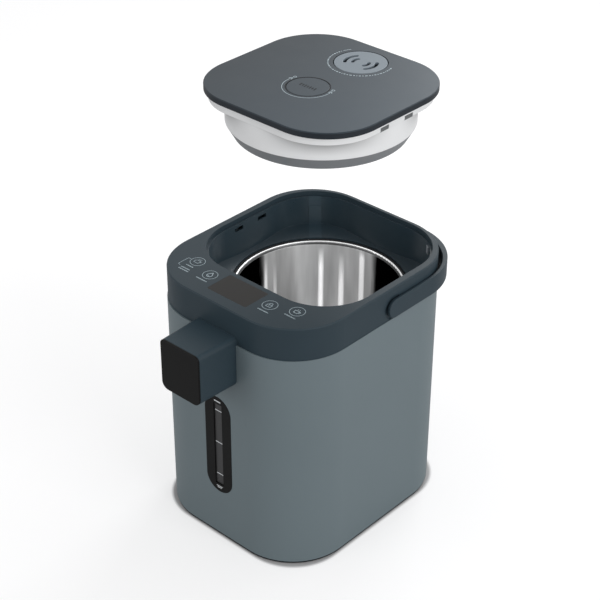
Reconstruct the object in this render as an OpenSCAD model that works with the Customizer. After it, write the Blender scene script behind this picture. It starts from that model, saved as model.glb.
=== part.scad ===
// Electric thermo pot with a lift-off lid, a pump-fed spout and a swing handle.
// Millimetres. +Z is up, -Y is the front with the spout, +X is the right side seen from the front.
// The origin is at the middle of the body's footprint, on the table.

/* [Body] */
// Width of the body shell
body_width = 223; // [216:1:236]
// Depth of the body shell
body_depth = 263; // [256:1:280]
// Corner radius of the body shell
body_corner = 69; // [66:1:72]
// Height of the rim above the table
body_height = 300; // [290:1:330]
// Sheet thickness of the body shell
shell_wall = 1.6; // [1.2:0.1:2.2]
// Height of the collar's side above the shell
collar_height = 37.2; // [35:0.2:42]
// Wall of the collar moulding
collar_wall = 2.2; // [1.8:0.1:2.6]
// Depth of the control deck in front of the opening
deck_depth = 53.8; // [51:0.2:58]
// Width of the rim beside the opening
rim_side = 8; // [7:0.1:9]
// Width of the rim behind the opening
rim_back = 4.6; // [4.4:0.1:6]

/* [Pot] */
// Depth from the rim down to the pot's rolled edge
well_depth = 49; // [46:0.5:52]
// Height of the pot's floor above the table
pot_floor = 60; // [58:1:66]
// Sheet thickness of the pot
pot_wall = 0.7; // [0.5:0.1:1]
// Radius of the bend between the pot's wall and floor
pot_bend = 9; // [6:1:14]

/* [Lid] */
// How far the lid is lifted off in the shown state
lid_lift = 187.5; // [60:0.5:240]
// Thickness of the lid's top plate
plate_thick = 6.4; // [5:0.2:7]
// How far the closed lid stands above the rim
lid_proud = 1.5; // [1:0.1:2.5]
// Radius of the push button
button_r = 21.5; // [19:0.5:22]
// Travel of the push button
button_travel = 3; // [2:0.5:3]
// Radius of the vent cap
vent_r = 27.3; // [25:0.1:28]
// Travel of the latches
latch_travel = 6.5; // [5.5:0.1:6.8]
// Turn of the lock from open to locked, in degrees
lock_turn = 60; // [50:1:65]

/* [Spout] */
// Reach of the spout in front of the shell
spout_reach = 50.5; // [46:0.5:58]
// Width of the spout's face
spout_width = 54; // [50:0.5:56]
// Height of the spout's face
spout_height = 59.3; // [56:0.1:62]
// How far the spout widens on each side towards the body
spout_flare = 2; // [1:0.1:3]

/* [Handle] */
// Height of the handle's band
handle_height = 21.5; // [19:0.5:22.5]
// Thickness of the handle's arms
handle_arm = 3.6; // [3:0.1:5]
// Thickness of the handle's grip
handle_grip = 8.2; // [5:0.1:9]
// Finger gap between the collar's back and the grip
finger_gap = 6.8; // [6:0.2:16]
// Distance of the handle's pivots behind the body's middle
handle_pivot_y = 14; // [10:1:18]

/* [Gauge] */
// Width of the gauge window
gauge_width = 37.4; // [34:0.2:40]
// Height of the gauge window's lower end
gauge_low = 61.5; // [60:0.5:66]
// Distance from the rim down to the gauge window's upper end
gauge_drop = 114; // [112:1:130]

/* [Hidden] */
$fn = 96;

// One overrun for every cut that runs out through a face
cut = 1;
// Gap between pieces that only lie beside each other
gap = 0.3;
// Radial clearance of a turning fit and of a seated fit
run_fit = 0.05;
seat_fit = 0.1;

// Colours
slate = [0.22, 0.26, 0.30];
slate_blue = [0.33, 0.38, 0.42];
shell_grey = [0.42, 0.46, 0.49];
gloss_black = [0.08, 0.08, 0.09];
pale_white = [0.86, 0.88, 0.90];
seal_grey = [0.60, 0.61, 0.61];
steel = [0.75, 0.76, 0.77];
rubber_black = [0.12, 0.12, 0.13];
rubber_clear = [0.82, 0.84, 0.84];
board_green = [0.10, 0.34, 0.20];
dark_part = [0.18, 0.18, 0.20];
cap_blue = [0.50, 0.56, 0.60];

// Body outlines, as half sizes
shell_half = [body_width / 2, body_depth / 2];
shell_inner = [shell_half.x - shell_wall, shell_half.y - shell_wall];
shell_inner_corner = body_corner - shell_wall;
collar_inset = [0.5, 1.7];
collar_half = [shell_half.x - collar_inset.x, shell_half.y - collar_inset.y];
corner_in = 2;
collar_corner = body_corner - corner_in;
collar_z = body_height - collar_height;
collar_chamfer = 1.2;
collar_tongue = 10;
deck_thick = 2.6;
deck_under = body_height - deck_thick;

// Feet and base
foot_height = 1.5;
foot_seat = 1;
foot_inset = 3;
foot_width = 7;
pan_floor = 3;
pan_flange = 2;
pan_inset = 0.6;
pan_wall = 2.2;
pan_wall_height = 14;
pan_top = foot_height + pan_floor;
shell_z = foot_height + pan_flange;

// Opening and well in the collar, centred behind the deck
well_y = (deck_depth - rim_back) / 2;
opening_half = [collar_half.x - rim_side, collar_half.y - (deck_depth + rim_back) / 2];
opening_corner = 60;
well_step = 2;
well_ledge = 5.4;
well_half = [opening_half.x - well_step, opening_half.y - well_step];
well_corner_in = 1;
well_corner = opening_corner - well_corner_in;
ledge_z = body_height - well_ledge;
well_wall = collar_half.y - collar_wall - well_y - opening_half.y;
well_r = min(well_half.x, well_half.y);

// Pot: a rolled edge on a gasket in the collar's shelf
pot_in = 9.6;
pot_r = well_r - pot_in;
pot_top = body_height - well_depth;
bead_r = 0.9;
bead_out = 2.4;
pot_flare = 2.6;
outlet_r = 5;
outlet_bore = 3.8;
outlet_length = 8;
gasket_base = 2;
gasket_in_gap = 2.6;
gasket_in = pot_r + gasket_in_gap;
gasket_out_gap = 6;
gasket_out = pot_r + gasket_out_gap;
gasket_lip_gap = 3.9;
gasket_lip = pot_r + gasket_lip_gap;
gasket_rise = 1.5;
ledge_thick = 3;
gasket_z = pot_top - bead_r - run_fit - gasket_base;
outlet_in = 16.4;
pump_back = pot_r - outlet_in;
shelf_r = gasket_out + gap;
shelf_rise = 3;
shelf_z = pot_top + shelf_rise;
shelf_slope = 0.3;
shelf_thick = 3;
shelf_reach = norm(well_half);
sleeve_thick = 4;
sleeve_low = 4;
sleeve_down = 11;

// Lid sensor and rib on the well's rear corners, with their places round the corner in degrees
sensor_turn = 53.4;
sensor_half = 3;
sensor_low = 16.5;
sensor_high = 8;
sensor_proud = 1.5;
rib_turn = 132;
rib_half = 7;
rib_proud = 0.8;
rib_top = 17;

// Handle around the collar's sides and back
handle_side_gap = 0.4;
handle_in = [collar_half.x + handle_side_gap, collar_half.y + finger_gap];
handle_in_corner = collar_corner;
handle_out = [handle_in.x + handle_arm, handle_in.y + handle_grip];
handle_out_corner = handle_in_corner + (handle_arm + handle_grip) / 2;
handle_drop = 23.8;
handle_z = body_height - handle_drop;
handle_end_r = handle_height / 2;
pivot_r = 6;
pivot_boss_r = 10;
pivot_boss = 1.2;
pivot_pocket = 3;
pivot_pocket_deep = 1.5;
pivot_inner_x = collar_half.x - collar_wall - pivot_boss;
stub_end_x = pivot_inner_x - gap;
washer_r = 9;
washer_thick = 1;
screw_head_h = 1.6;
screw_head_r = 3.5;
screw_r = 1.5;
screw_length = 9;

// Control deck
display_size = [54, 33.8];
display_corner = 2;
display_back = 22.6;
display_y = well_y - opening_half.y - display_back;
display_thick = 1.6;
display_lip = 2;
board_drop = 11.8;
board_thick = 1.6;
board_in = 36;
board_deep = 17;
board_half = [collar_half.x - board_in, board_deep];
board_post_in = 19;
board_post_deep = 12.5;
board_post = [board_half.x - board_post_in, board_post_deep];
board_post_r = 3.5;
board_z = deck_under - board_drop - board_thick;
module_half = [28, 15];
key_r = 5;
key_in = 5;
key_back = [12, 2.3];
key_inner_share = 1 / 3;
key_outer_x = board_half.x - key_in;
key_places = [
    [key_outer_x, key_back[0]],
    [module_half.x + (key_outer_x - module_half.x) * key_inner_share, key_back[1]]
];
module_gap = 0.8;

// Tie rods between the base and the collar
rod_r = 4;
rod_stud_r = 2;
rod_stud = 8;
rod_corner = [29.5, 31.5];
rod_place = [shell_half.x - rod_corner.x, shell_half.y - rod_corner.y];
rod_boss_r = 5.5;
rod_foot = 3.5;
rod_low = pan_top + rod_foot;
rod_end_drop = 8;
rod_high = pot_top - rod_end_drop;
base_head_r = 4;
base_head_h = 2.2;

// Lid, drawn closed and then lifted
lid_top = body_height + lid_proud;
plate_gap = [1.4, 1];
plate_half = opening_half - plate_gap;
plate_corner_out = 1;
plate_corner = opening_corner + plate_corner_out;
plate_z = lid_top - plate_thick;
plate_chamfer = 0.9;
skirt_height = 8.6;
skirt_in = [4.4, 2.7];
skirt_half = plate_half - skirt_in;
skirt_corner_in = 1;
skirt_corner = plate_corner - skirt_corner_in;
skirt_z = plate_z - skirt_height;
core_gap = 1.9;
core_r = well_r - core_gap;
seal_drop = 1;
seal_low = pot_top - seal_drop;
seal_height = 12.8;
seal_z = seal_low + seal_height;
seal_lap = 0.4;
seal_low_r = pot_r + seal_lap;
seal_in_gap = 4.4;
seal_in = pot_r - seal_in_gap;
seal_lip = 0.8;
lid_wall = 2.2;
lid_floor = 2.5;
floor_z = seal_z + lid_floor;
cover_r = seal_in - gap;
cover_thick = 0.8;
cover_rim = 6;
cover_dish = 2;
cover_dish_in = 24.6;
cover_dish_r = seal_in - cover_dish_in;
cover_hole_r = 2;
cover_hole_ring = 9;
cover_rise = 1;
cover_z = seal_low + cover_rise;

// Steam vent at the lid's back, and the button midway between it and a line in front of the lid
vent_back = 37.1;
vent_y = core_r - vent_back;
button_line = 99.6;
button_y = (vent_y - button_line) / 2;

// Lock: a button that turns a cam, and two latches
button_gap = 0.4;
button_thick = 4;
button_wall = 2;
button_skirt = 3.9;
stem = 9.6;
stem_fit = 0.2;
hub_r = 12;
hub_height = 6;
cam_r = 31;
cam_thick = 3.4;
cam_pin_r = 2;
cam_start_r = 20;
cam_slot = 0.3;
cam_web = 1.2;
cam_steps = 12;
post_r = 9;
spigot_r = 4;
spigot = 1.8;
latch_thick = 4.3;
latch_drop = 0.8;
latch_z = skirt_z - latch_drop;
cam_z = latch_z - gap - cam_thick;
latch_bar = 8;
latch_inner_x = 17;
yoke_width = 14;
tongue_place = 18;
tongue_width = 12;
yoke_half = max(tongue_place + tongue_width / 2, latch_bar / 2 - button_y);
yoke_fit = 0.87;
yoke_reach = core_r - lid_wall - yoke_fit;
yoke_x = sqrt(pow(yoke_reach, 2) - pow(yoke_half, 2)) - latch_travel - yoke_width;
tongue_fit = 0.3;
tongue_x = skirt_half.x - gap;
rest_in = 14;
rest_x = yoke_x - rest_in;
rest_width = 8;
spring_r = 14.5;
spring_wire = 0.9;
spring_turns = 5;
spring_steps = 20;
spring_sides = 6;

// Steam path
vent_gap = 0.9;
vent_thick = 2.6;
vent_wall = 1.8;
vent_seat_drop = 0.5;
vent_seat_z = skirt_z - vent_seat_drop;
vent_seat = 2;
pocket_wall = 2;
slot_width = 3.8;
slot_long_r = 16.5;
slot_long_turn = 36;
slot_short_r = 8.5;
slot_short_turn = 31;
duct_r = 8;
duct_bore = 5.6;
steam_hole = 3.5;
steam_ball_r = 4.6;
ball_lift = 0.2;
vent_gasket_in = 6.2;
vent_gasket_out = 9.5;
vent_gasket_h = 1.5;
lid_screw_in = 5.4;
lid_screw = (seal_in - lid_screw_in) / sqrt(2);
lid_post_r = 4;

// Spout on the front
spout_top_drop = 28.2;
spout_z = body_height - spout_top_drop - spout_height / 2;
spout_top_round = 5.5;
spout_low_round = 8.5;
spout_wall = 2;
face_thick = 2;
spout_face_y = -shell_half.y - spout_reach;
spout_back_y = spout_face_y + face_thick;
slab = 0.02;
nozzle_back = 15.2;
nozzle_y = spout_face_y + nozzle_back;
nozzle_r = 10;
nozzle_drop = 4.5;
nozzle_cup = 8;
nozzle_cup_deep = 5;
nozzle_flange = 0.9;
nozzle_flange_h = 2;
spout_low = spout_z - spout_height / 2;
hose_r = 7;
spout_hose_r = 6.2;
spout_hose_room = 2;
spout_nipple_r = 4.5;
spout_nipple_bore = 3.2;
spout_nipple = 8;
spout_bend = 12;
spout_screw = [22.6, 9];
spout_boss_r = 4.5;
spout_boss = 11;

// Gauge on the front
frame_proud = 0.3;
frame_thick = 3.2;
frame_flange = 2.8;
frame_fit = 0.15;
gauge_high = body_height - gauge_drop;
slit_half = 5.8;
slit_ends = 10;
lens_lap = 1.5;
lens_thick = 1.7;
tube_r = 5;
tube_bore = 3.6;
tube_back = 12.5;
tube_y = -shell_half.y + tube_back;
tube_rise = 0.5;
tube_low = gauge_low + tube_rise;
tube_drop = 104;
tube_high = body_height - tube_drop;
sleeve_lap = 8;

// Stop valve above the gauge tube
valve_r = 9.5;
valve_nipple = 7;
valve_gap = 1;
valve_z = tube_high + valve_gap + valve_nipple;
valve_height = 44;
valve_floor = 6;
valve_bore = 6;
valve_passage = 3.4;
valve_ball_r = 4.8;
valve_out_drop = 8;
valve_top = valve_z + valve_height;
valve_out_z = valve_top - valve_out_drop;
valve_plug = 2;

// Pump and motor under the pot
pump_y = well_y - pump_back;
motor_gap = 2.5;
motor_low = pan_top + motor_gap;
motor_r = 16;
motor_height = 20.9;
motor_wall = 1.3;
motor_seat_r = 19;
rotor_r = 11.5;
rotor_height = 12;
rotor_up = 4;
shaft_r = 1.5;
bracket_thick = 2;
bracket_half = [34, 10];
bracket_leg = 7;
pump_gap = 0.1;
pump_z = motor_low + motor_height + pump_gap;
pump_r = 22;
pump_wall = 2;
pump_height = 12;
pump_cover_h = 2;
pump_nipple = 7;
pump_out_rise = 7;
pump_out_z = pump_z + pump_out_rise;
pump_out = 15;
seal_r = 4;
seal_h = 1.2;
impeller_r = 18;
impeller_gap = 1.2;
impeller_z = pump_z + pump_wall + impeller_gap;
impeller_disc = 1.2;
impeller_vane = 5;
impeller_vanes = 6;
vane_thick = 1.2;
impeller_hub = 4;
hose_bend = 20;
hose_lap = 3;

// Heater under the pot
heater_gap = 12.6;
heater_r = pump_back - heater_gap;
heater_thick = 5.5;
heater_z = pot_floor - seat_fit - heater_thick;
element_share = 0.76667;
element_ring = heater_r * element_share;
element_r = 3.4;
element_turn = 320;
terminal_r = 1.6;
terminal = 9;
thermostat_r = 8;
thermostat_h = 7;
thermostat_share = 1 / 3;
thermostat_x = heater_r * thermostat_share;
thermostat_flange = 1.5;
fuse_r = 3;
fuse_length = 16;
fuse_share = 0.43333;
fuse_y = heater_r * fuse_share;

transformer = [26, 24, 20];
relay = [18, 13, 14];
capacitor_r = 7;
capacitor_h = 18;
heat_sink = [4, 26, 16];
component_place = 32;

// Mains inlet at the back
inlet_z = 32;
inlet_half = [14, 11];
inlet_flange = 3;
inlet_flange_h = 1.5;
inlet_depth = 22;
inlet_hollow = [12, 8];
inlet_hollow_deep = 18;
inlet_pin = [2, 4];
inlet_pin_x = 7;
inlet_pin_rise = 3;
inlet_pin_length = 12;
inlet_pin_root = 4;

// Power board on the base, in front of the inlet
power_half = [55, 35];
power_gap = 4.5;
power_y = shell_half.y - inlet_depth - power_gap - power_half.y - well_y;
power_post = [49, 29];
power_post_h = 7.5;
power_post_r = 3.5;
power_pin_r = 1.5;
power_z = pan_top + power_post_h;

function inset(half, by) = [half.x - by, half.y - by];

// A rounded rectangle, made of squares and circles so that its arcs stay true
module round_plan(half, corner) {
    square([2 * (half.x - corner), 2 * half.y], center = true);
    square([2 * half.x, 2 * (half.y - corner)], center = true);
    for (sx = [-1, 1], sy = [-1, 1])
        translate([sx * (half.x - corner), sy * (half.y - corner)])
            circle(corner);
}

module round_block(half, corner, low, high) {
    translate([0, 0, low])
        linear_extrude(high - low)
            round_plan(half, corner);
}

module round_ring(half, corner, wall, low, high) {
    difference() {
        round_block(half, corner, low, high);
        round_block(inset(half, wall), corner - wall, low - cut, high + cut);
    }
}

// Carries a profile around a rounded rectangle: its x is measured outwards, its y is height
module edge_run(half, corner) {
    for (sx = [-1, 1], sy = [-1, 1])
        translate([sx * (half.x - corner), sy * (half.y - corner), 0])
            rotate([0, 0, sx > 0 ? (sy > 0 ? 0 : -90) : (sy > 0 ? 90 : 180)])
                rotate_extrude(angle = 90)
                    translate([corner, 0])
                        children();
    for (side = [-1, 1]) {
        translate([side * (half.x - corner) + side * corner, side * (half.y - corner), 0])
            rotate([90, 0, side > 0 ? 0 : 180])
                linear_extrude(2 * (half.y - corner))
                    children();
        translate([-side * (half.x - corner), side * (half.y - corner) + side * corner, 0])
            rotate([90, 0, side > 0 ? 90 : -90])
                linear_extrude(2 * (half.x - corner))
                    children();
    }
}

// The strip of a wall whose upper outer edge is bevelled
module bevelled_strip(wall, low, high, bevel) {
    polygon([[-wall, low], [0, low], [0, high - bevel], [-bevel, high], [-wall, high]]);
}

module tube(outer, bore, low, high) {
    difference() {
        translate([0, 0, low])
            cylinder(r = outer, h = high - low);
        translate([0, 0, low - cut])
            cylinder(r = bore, h = high - low + 2 * cut);
    }
}

module rod(radius, low, high) {
    translate([0, 0, low])
        cylinder(r = radius, h = high - low);
}

module box(low, high) {
    translate(low)
        cube(high - low);
}

// A screw that points up: its head's upper face is at height zero
module screw_up(head_r, head_h, shank_r, length) {
    rod(head_r, -head_h, 0);
    rod(shank_r, 0, length);
}

// A rod along the depth, from one y to another
module rod_y(radius, from, to) {
    translate([0, to, 0])
        rotate([90, 0, 0])
            cylinder(r = radius, h = to - from);
}

module at_well() {
    translate([0, well_y, 0])
        children();
}

module at_lid() {
    translate([0, well_y, lid_lift])
        children();
}

module at_corners(place) {
    for (sx = [-1, 1], sy = [-1, 1])
        translate([sx * place.x, sy * place.y, 0])
            children();
}

// Body casing

module outer_shell() {
    color(shell_grey)
        difference() {
            round_ring(shell_half, body_corner, shell_wall, shell_z, collar_z);
            translate([0, -shell_half.y, 0])
                gauge_stadium(gauge_width / 2, gauge_low, gauge_high, 2 * shell_wall);
            translate([0, -shell_half.y, valve_out_z])
                rod_y(spout_hose_r + spout_hose_room, -cut, shell_wall + cut);
            for (side = [-1, 1])
                translate([side * spout_screw.x, -shell_half.y, spout_z - spout_screw.y])
                    rod_y(screw_r + gap, -cut, shell_wall + cut);
            box([-inlet_half.x - gap, shell_inner.y - cut, inlet_z - inlet_half.y - gap],
                [inlet_half.x + gap, shell_half.y + cut, inlet_z + inlet_half.y + gap]);
        }
}

// A flat plate with round upper and lower ends, standing in the front face
module gauge_stadium(half, low, high, deep) {
    translate([0, deep / 2, 0])
        rotate([90, 0, 0])
            linear_extrude(deep) {
                translate([-half, low + half])
                    square([2 * half, high - low - 2 * half]);
                for (z = [low + half, high - half])
                    translate([0, z])
                        circle(half);
            }
}

module collar_walls() {
    edge_run(collar_half, collar_corner)
        bevelled_strip(collar_wall, collar_z, body_height, collar_chamfer);
    round_ring(inset(shell_inner, frame_fit), shell_inner_corner - frame_fit, collar_wall,
        collar_z - collar_tongue, collar_z + collar_wall);
    round_block(inset(collar_half, collar_wall), collar_corner - collar_wall, deck_under, body_height);
    at_well()
        round_block(inset(opening_half, -well_wall), opening_corner + well_wall,
            ledge_z, body_height - collar_chamfer);
    for (side = [-1, 1])
        translate([side * (collar_half.x - collar_wall / 2), handle_pivot_y, handle_z])
            rotate([0, -side * 90, 0])
                rod(pivot_boss_r, 0, collar_wall / 2 + pivot_boss);
}

// The dished shelf round the pot, with the ledge that carries the gasket
module pot_shelf() {
    intersection() {
        round_block(inset(well_half, -well_wall / 2), well_corner + well_wall / 2,
            gasket_z - ledge_thick - cut, body_height);
        rotate_extrude()
            polygon([
                [gasket_in - gap, gasket_z - ledge_thick],
                [shelf_r + shelf_thick, gasket_z - ledge_thick],
                [shelf_r + shelf_thick, shelf_z - shelf_thick],
                [shelf_reach, shelf_z - shelf_thick + shelf_slope * (shelf_reach - shelf_r)],
                [shelf_reach, shelf_z + shelf_slope * (shelf_reach - shelf_r)],
                [shelf_r, shelf_z],
                [shelf_r, gasket_z - run_fit],
                [gasket_in - gap, gasket_z - run_fit]
            ]);
    }
}

// The liner's wall, which hangs from the underside of the collar's ledge
module liner_wall() {
    wall = well_wall - seat_fit;
    difference() {
        union() {
            round_block(inset(opening_half, -wall), opening_corner + wall, ledge_z - well_wall, ledge_z);
            round_block(inset(well_half, -wall), well_corner + wall,
                shelf_z - shelf_thick - gasket_base, ledge_z);
        }
        round_block(well_half, well_corner, gasket_z - ledge_thick - cut, ledge_z + cut);
    }
}

// Moves to the well's wall at one rear corner, with x pointing outwards through it
module at_well_corner(side, turn) {
    translate([side * (well_half.x - well_corner), well_half.y - well_corner, 0])
        rotate([0, 0, turn])
            translate([well_corner, 0, 0])
                children();
}

module tongue_slots() {
    for (side = [-1, 1], place = [-1, 1])
        translate([side * (well_half.x + well_wall / 2), place * tongue_place, latch_z + latch_thick / 2])
            cube([2 * well_wall, tongue_width + 2 * tongue_fit, latch_thick + 2 * tongue_fit], center = true);
}

module board_posts() {
    translate([0, display_y, 0])
        at_corners(board_post)
            rod(board_post_r, board_z + board_thick, deck_under + deck_thick / 2);
}

// Bosses for the tie rods, at the front or at the back
module rod_bosses(end, high) {
    for (side = [-1, 1])
        translate([side * rod_place.x, end * rod_place.y, 0])
            rod(rod_boss_r, rod_high, high);
}

module rod_holes() {
    at_corners(rod_place)
        rod(rod_stud_r + run_fit, rod_high - cut, rod_high + rod_stud + gap);
}

module top_collar() {
    color(slate)
        difference() {
            union() {
                difference() {
                    collar_walls();
                    at_well()
                        round_block(opening_half, opening_corner, ledge_z - cut, body_height + cut);
                }
                board_posts();
                rod_bosses(-1, deck_under + deck_thick / 2);
            }
            translate([0, display_y, 0]) {
                round_block(display_size / 2 + [seat_fit, seat_fit], display_corner + seat_fit,
                    body_height - display_thick, body_height + cut);
                round_block(inset(display_size / 2, display_lip), display_corner,
                    deck_under - cut, body_height);
                at_corners(board_post)
                    rod(screw_r + run_fit, board_z, board_z + board_thick + screw_length - gap);
            }
            rod_holes();
            for (side = [-1, 1])
                translate([side * (collar_half.x + cut), handle_pivot_y, handle_z])
                    rotate([0, -side * 90, 0]) {
                        rod(handle_end_r + pivot_pocket, 0, cut + pivot_pocket_deep);
                        rod(pivot_r + run_fit, 0, 2 * (collar_wall + pivot_boss) + cut);
                    }
        }
}

// The well's liner: its wall, the dished shelf and a low rib on one rear corner
module well_liner() {
    color(slate)
        difference() {
            union() {
                at_well() {
                    liner_wall();
                    pot_shelf();
                    intersection() {
                        at_well_corner(-1, rib_turn)
                            box([-rib_proud, -rib_half, gasket_z],
                                [well_wall, rib_half, body_height - rib_top]);
                        difference() {
                            round_block(inset(well_half, -well_wall / 2), well_corner + well_wall / 2,
                                shelf_z - shelf_thick / 2, ledge_z);
                            rod(gasket_out + shelf_thick, 0, body_height);
                        }
                    }
                }
                rod_bosses(1, shelf_z);
            }
            rod_holes();
            at_well() {
                tongue_slots();
                at_well_corner(1, sensor_turn)
                    box([-cut, -sensor_half - seat_fit, body_height - sensor_low - seat_fit],
                        [well_wall / 2 + seat_fit, sensor_half + seat_fit,
                            body_height - sensor_high + seat_fit]);
            }
        }
}

module lid_sensor() {
    color(seal_grey)
        at_well()
            at_well_corner(1, sensor_turn)
                box([-sensor_proud, -sensor_half, body_height - sensor_low],
                    [well_wall / 2, sensor_half, body_height - sensor_high]);
}

module display_window() {
    color(gloss_black)
        translate([0, display_y, 0])
            round_block(display_size / 2, display_corner, body_height - display_thick, body_height);
}

module display_module() {
    color(dark_part)
        translate([0, display_y, 0]) {
            box([-module_half.x, -module_half.y, board_z + board_thick],
                [module_half.x, module_half.y, deck_under - module_gap]);
            round_block(inset(display_size / 2, display_lip + gap), display_corner,
                deck_under - 2 * module_gap, body_height - display_thick - gap);
        }
}

module control_board() {
    color(board_green)
        difference() {
            translate([0, display_y, 0])
                box([-board_half.x, -board_half.y, board_z],
                    [board_half.x, board_half.y, board_z + board_thick]);
            translate([0, display_y, 0])
                at_corners(board_post)
                    rod(screw_r + gap, board_z - cut, board_z + board_thick + cut);
        }
}

module touch_pads() {
    color(rubber_black)
        for (side = [-1, 1], place = key_places)
            translate([side * place.x, display_y + place.y, 0])
                rod(key_r, board_z + board_thick, deck_under);
}

// The screws of the control board, and those that draw the base up to the tie rods
module body_screws() {
    color(steel) {
        translate([0, display_y, board_z])
            at_corners(board_post)
                screw_up(screw_head_r, screw_head_h, screw_r, screw_length);
        translate([0, 0, foot_height + base_head_h + gap])
            at_corners(rod_place)
                screw_up(base_head_r, base_head_h, rod_stud_r,
                    rod_low + rod_stud - foot_height - base_head_h - cut);
    }
}

// Pot and heater

module inner_pot() {
    outer = pot_r + pot_wall;
    color(steel)
        at_well() {
            rotate_extrude() {
                translate([pot_r, pot_floor + pot_bend])
                    square([pot_wall, pot_top - pot_flare - pot_floor - pot_bend]);
                polygon([
                    [pot_r, pot_top - pot_flare],
                    [outer, pot_top - pot_flare - pot_wall / 2],
                    [pot_r + bead_out, pot_top - bead_r],
                    [pot_r + bead_out - bead_r, pot_top - bead_r / 2]
                ]);
                translate([pot_r + bead_out, pot_top])
                    circle(bead_r);
                difference() {
                    intersection() {
                        translate([outer - pot_bend, pot_floor + pot_bend])
                            circle(pot_bend);
                        translate([outer - pot_bend, pot_floor])
                            square(pot_bend);
                    }
                    translate([outer - pot_bend, pot_floor + pot_bend])
                        circle(pot_bend - pot_wall);
                }
            }
            difference() {
                union() {
                    rod(outer - pot_bend, pot_floor, pot_floor + pot_wall);
                    translate([0, -pump_back, 0])
                        rod(outlet_r, pot_floor - outlet_length, pot_floor + pot_wall / 2);
                }
                translate([0, -pump_back, 0])
                    rod(outlet_bore, pot_floor - outlet_length - cut, pot_floor + pot_wall + cut);
            }
        }
}

module pot_gasket() {
    color(rubber_black)
        at_well()
            rotate_extrude()
                polygon([
                    [gasket_in, gasket_z],
                    [gasket_out, gasket_z],
                    [gasket_out, pot_top + gasket_rise],
                    [gasket_lip, pot_top + gasket_rise],
                    [gasket_lip, gasket_z + gasket_base],
                    [gasket_in, gasket_z + gasket_base]
                ]);
}

module insulation_sleeve() {
    color(pale_white)
        at_well()
            tube(pot_r + pot_wall + gap + sleeve_thick, pot_r + pot_wall + gap,
                pot_floor + sleeve_low, pot_top - sleeve_down);
}

module heater_plate() {
    color(steel)
        at_well()
            rod(heater_r, heater_z, heater_z + heater_thick);
}

module heating_element() {
    color(steel)
        at_well()
            translate([0, 0, heater_z - seat_fit - element_r])
                rotate([0, 0, 90 + (360 - element_turn) / 2]) {
                    rotate_extrude(angle = element_turn)
                        translate([element_ring, 0])
                            circle(element_r);
                    for (turn = [0, element_turn])
                        rotate([0, 0, turn])
                            translate([element_ring, 0, 0])
                                rod(terminal_r, -element_r - terminal, 0);
                }
}

module thermostats() {
    color(dark_part)
        at_well()
            for (side = [-1, 1])
                translate([side * thermostat_x, 0, 0]) {
                    rod(thermostat_r, heater_z - seat_fit - thermostat_h, heater_z - seat_fit);
                    rod(thermostat_r + thermostat_flange, heater_z - seat_fit - thermostat_flange,
                        heater_z - seat_fit);
                }
}

module thermal_fuse() {
    color(pale_white)
        at_well()
            translate([-fuse_length / 2, -fuse_y, heater_z - seat_fit - fuse_r])
                rotate([0, 90, 0])
                    rod(fuse_r, 0, fuse_length);
}

// Pump, hoses and gauge

module suction_hose() {
    color(rubber_clear)
        translate([0, pump_y, 0])
            tube(hose_r, outlet_r + run_fit, pump_z + pump_height + pump_cover_h + gap, pot_floor - gap);
}

module pump_housing() {
    color(pale_white)
        translate([0, pump_y, 0])
            difference() {
                union() {
                    rod(pump_r, pump_z, pump_z + pump_height);
                    translate([0, 0, pump_out_z])
                        rod_y(tube_r, -pump_r - pump_out, 0);
                }
                rod(pump_r - pump_wall, pump_z + pump_wall, pump_z + pump_height + cut);
                rod(shaft_r + run_fit, pump_z - cut, pump_z + pump_wall + cut);
                rod(seal_r + seat_fit, pump_z + pump_wall - seal_h, pump_z + pump_wall + cut);
                translate([0, 0, pump_out_z])
                    rod_y(tube_bore, -pump_r - pump_out - cut, -pump_r + 2 * pump_wall);
            }
}

module pump_cover() {
    top = pump_z + pump_height;
    color(pale_white)
        translate([0, pump_y, 0])
            difference() {
                union() {
                    rod(pump_r, top, top + pump_cover_h);
                    rod(outlet_r, top, top + pump_cover_h + pump_nipple);
                }
                rod(outlet_bore, top - cut, top + pump_cover_h + pump_nipple + cut);
            }
}

module shaft_seal() {
    color(rubber_black)
        translate([0, pump_y, 0])
            tube(seal_r, shaft_r + run_fit, pump_z + pump_wall - seal_h, pump_z + pump_wall);
}

module impeller() {
    shaft_top = impeller_z + impeller_disc + impeller_vane - cut;
    color(pale_white)
        translate([0, pump_y, 0])
            difference() {
                union() {
                    rod(impeller_r, impeller_z, impeller_z + impeller_disc);
                    rod(impeller_hub, impeller_z, impeller_z + impeller_disc + impeller_vane + gap);
                    for (i = [0 : impeller_vanes - 1])
                        rotate([0, 0, i * 360 / impeller_vanes])
                            box([impeller_hub / 2, -vane_thick / 2, impeller_z],
                                [impeller_r - gap, vane_thick / 2,
                                    impeller_z + impeller_disc + impeller_vane]);
                }
                rod(shaft_r + run_fit / 2, impeller_z - cut, shaft_top + seat_fit);
            }
}

module motor_case() {
    top = motor_low + motor_height;
    color(steel)
        translate([0, pump_y, 0])
            difference() {
                rod(motor_r, motor_low, top);
                difference() {
                    rod(motor_r - motor_wall, motor_low + motor_wall, top - motor_wall);
                    rod(2 * shaft_r, motor_low, motor_low + 2 * motor_wall);
                }
                rod(shaft_r + run_fit, motor_low + motor_wall / 2, top + cut);
            }
}

module motor_rotor() {
    color(steel)
        translate([0, pump_y, 0]) {
            rod(shaft_r, motor_low + motor_wall, impeller_z + impeller_disc + impeller_vane - cut);
            rod(rotor_r, motor_low + rotor_up, motor_low + rotor_up + rotor_height);
        }
}

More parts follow.
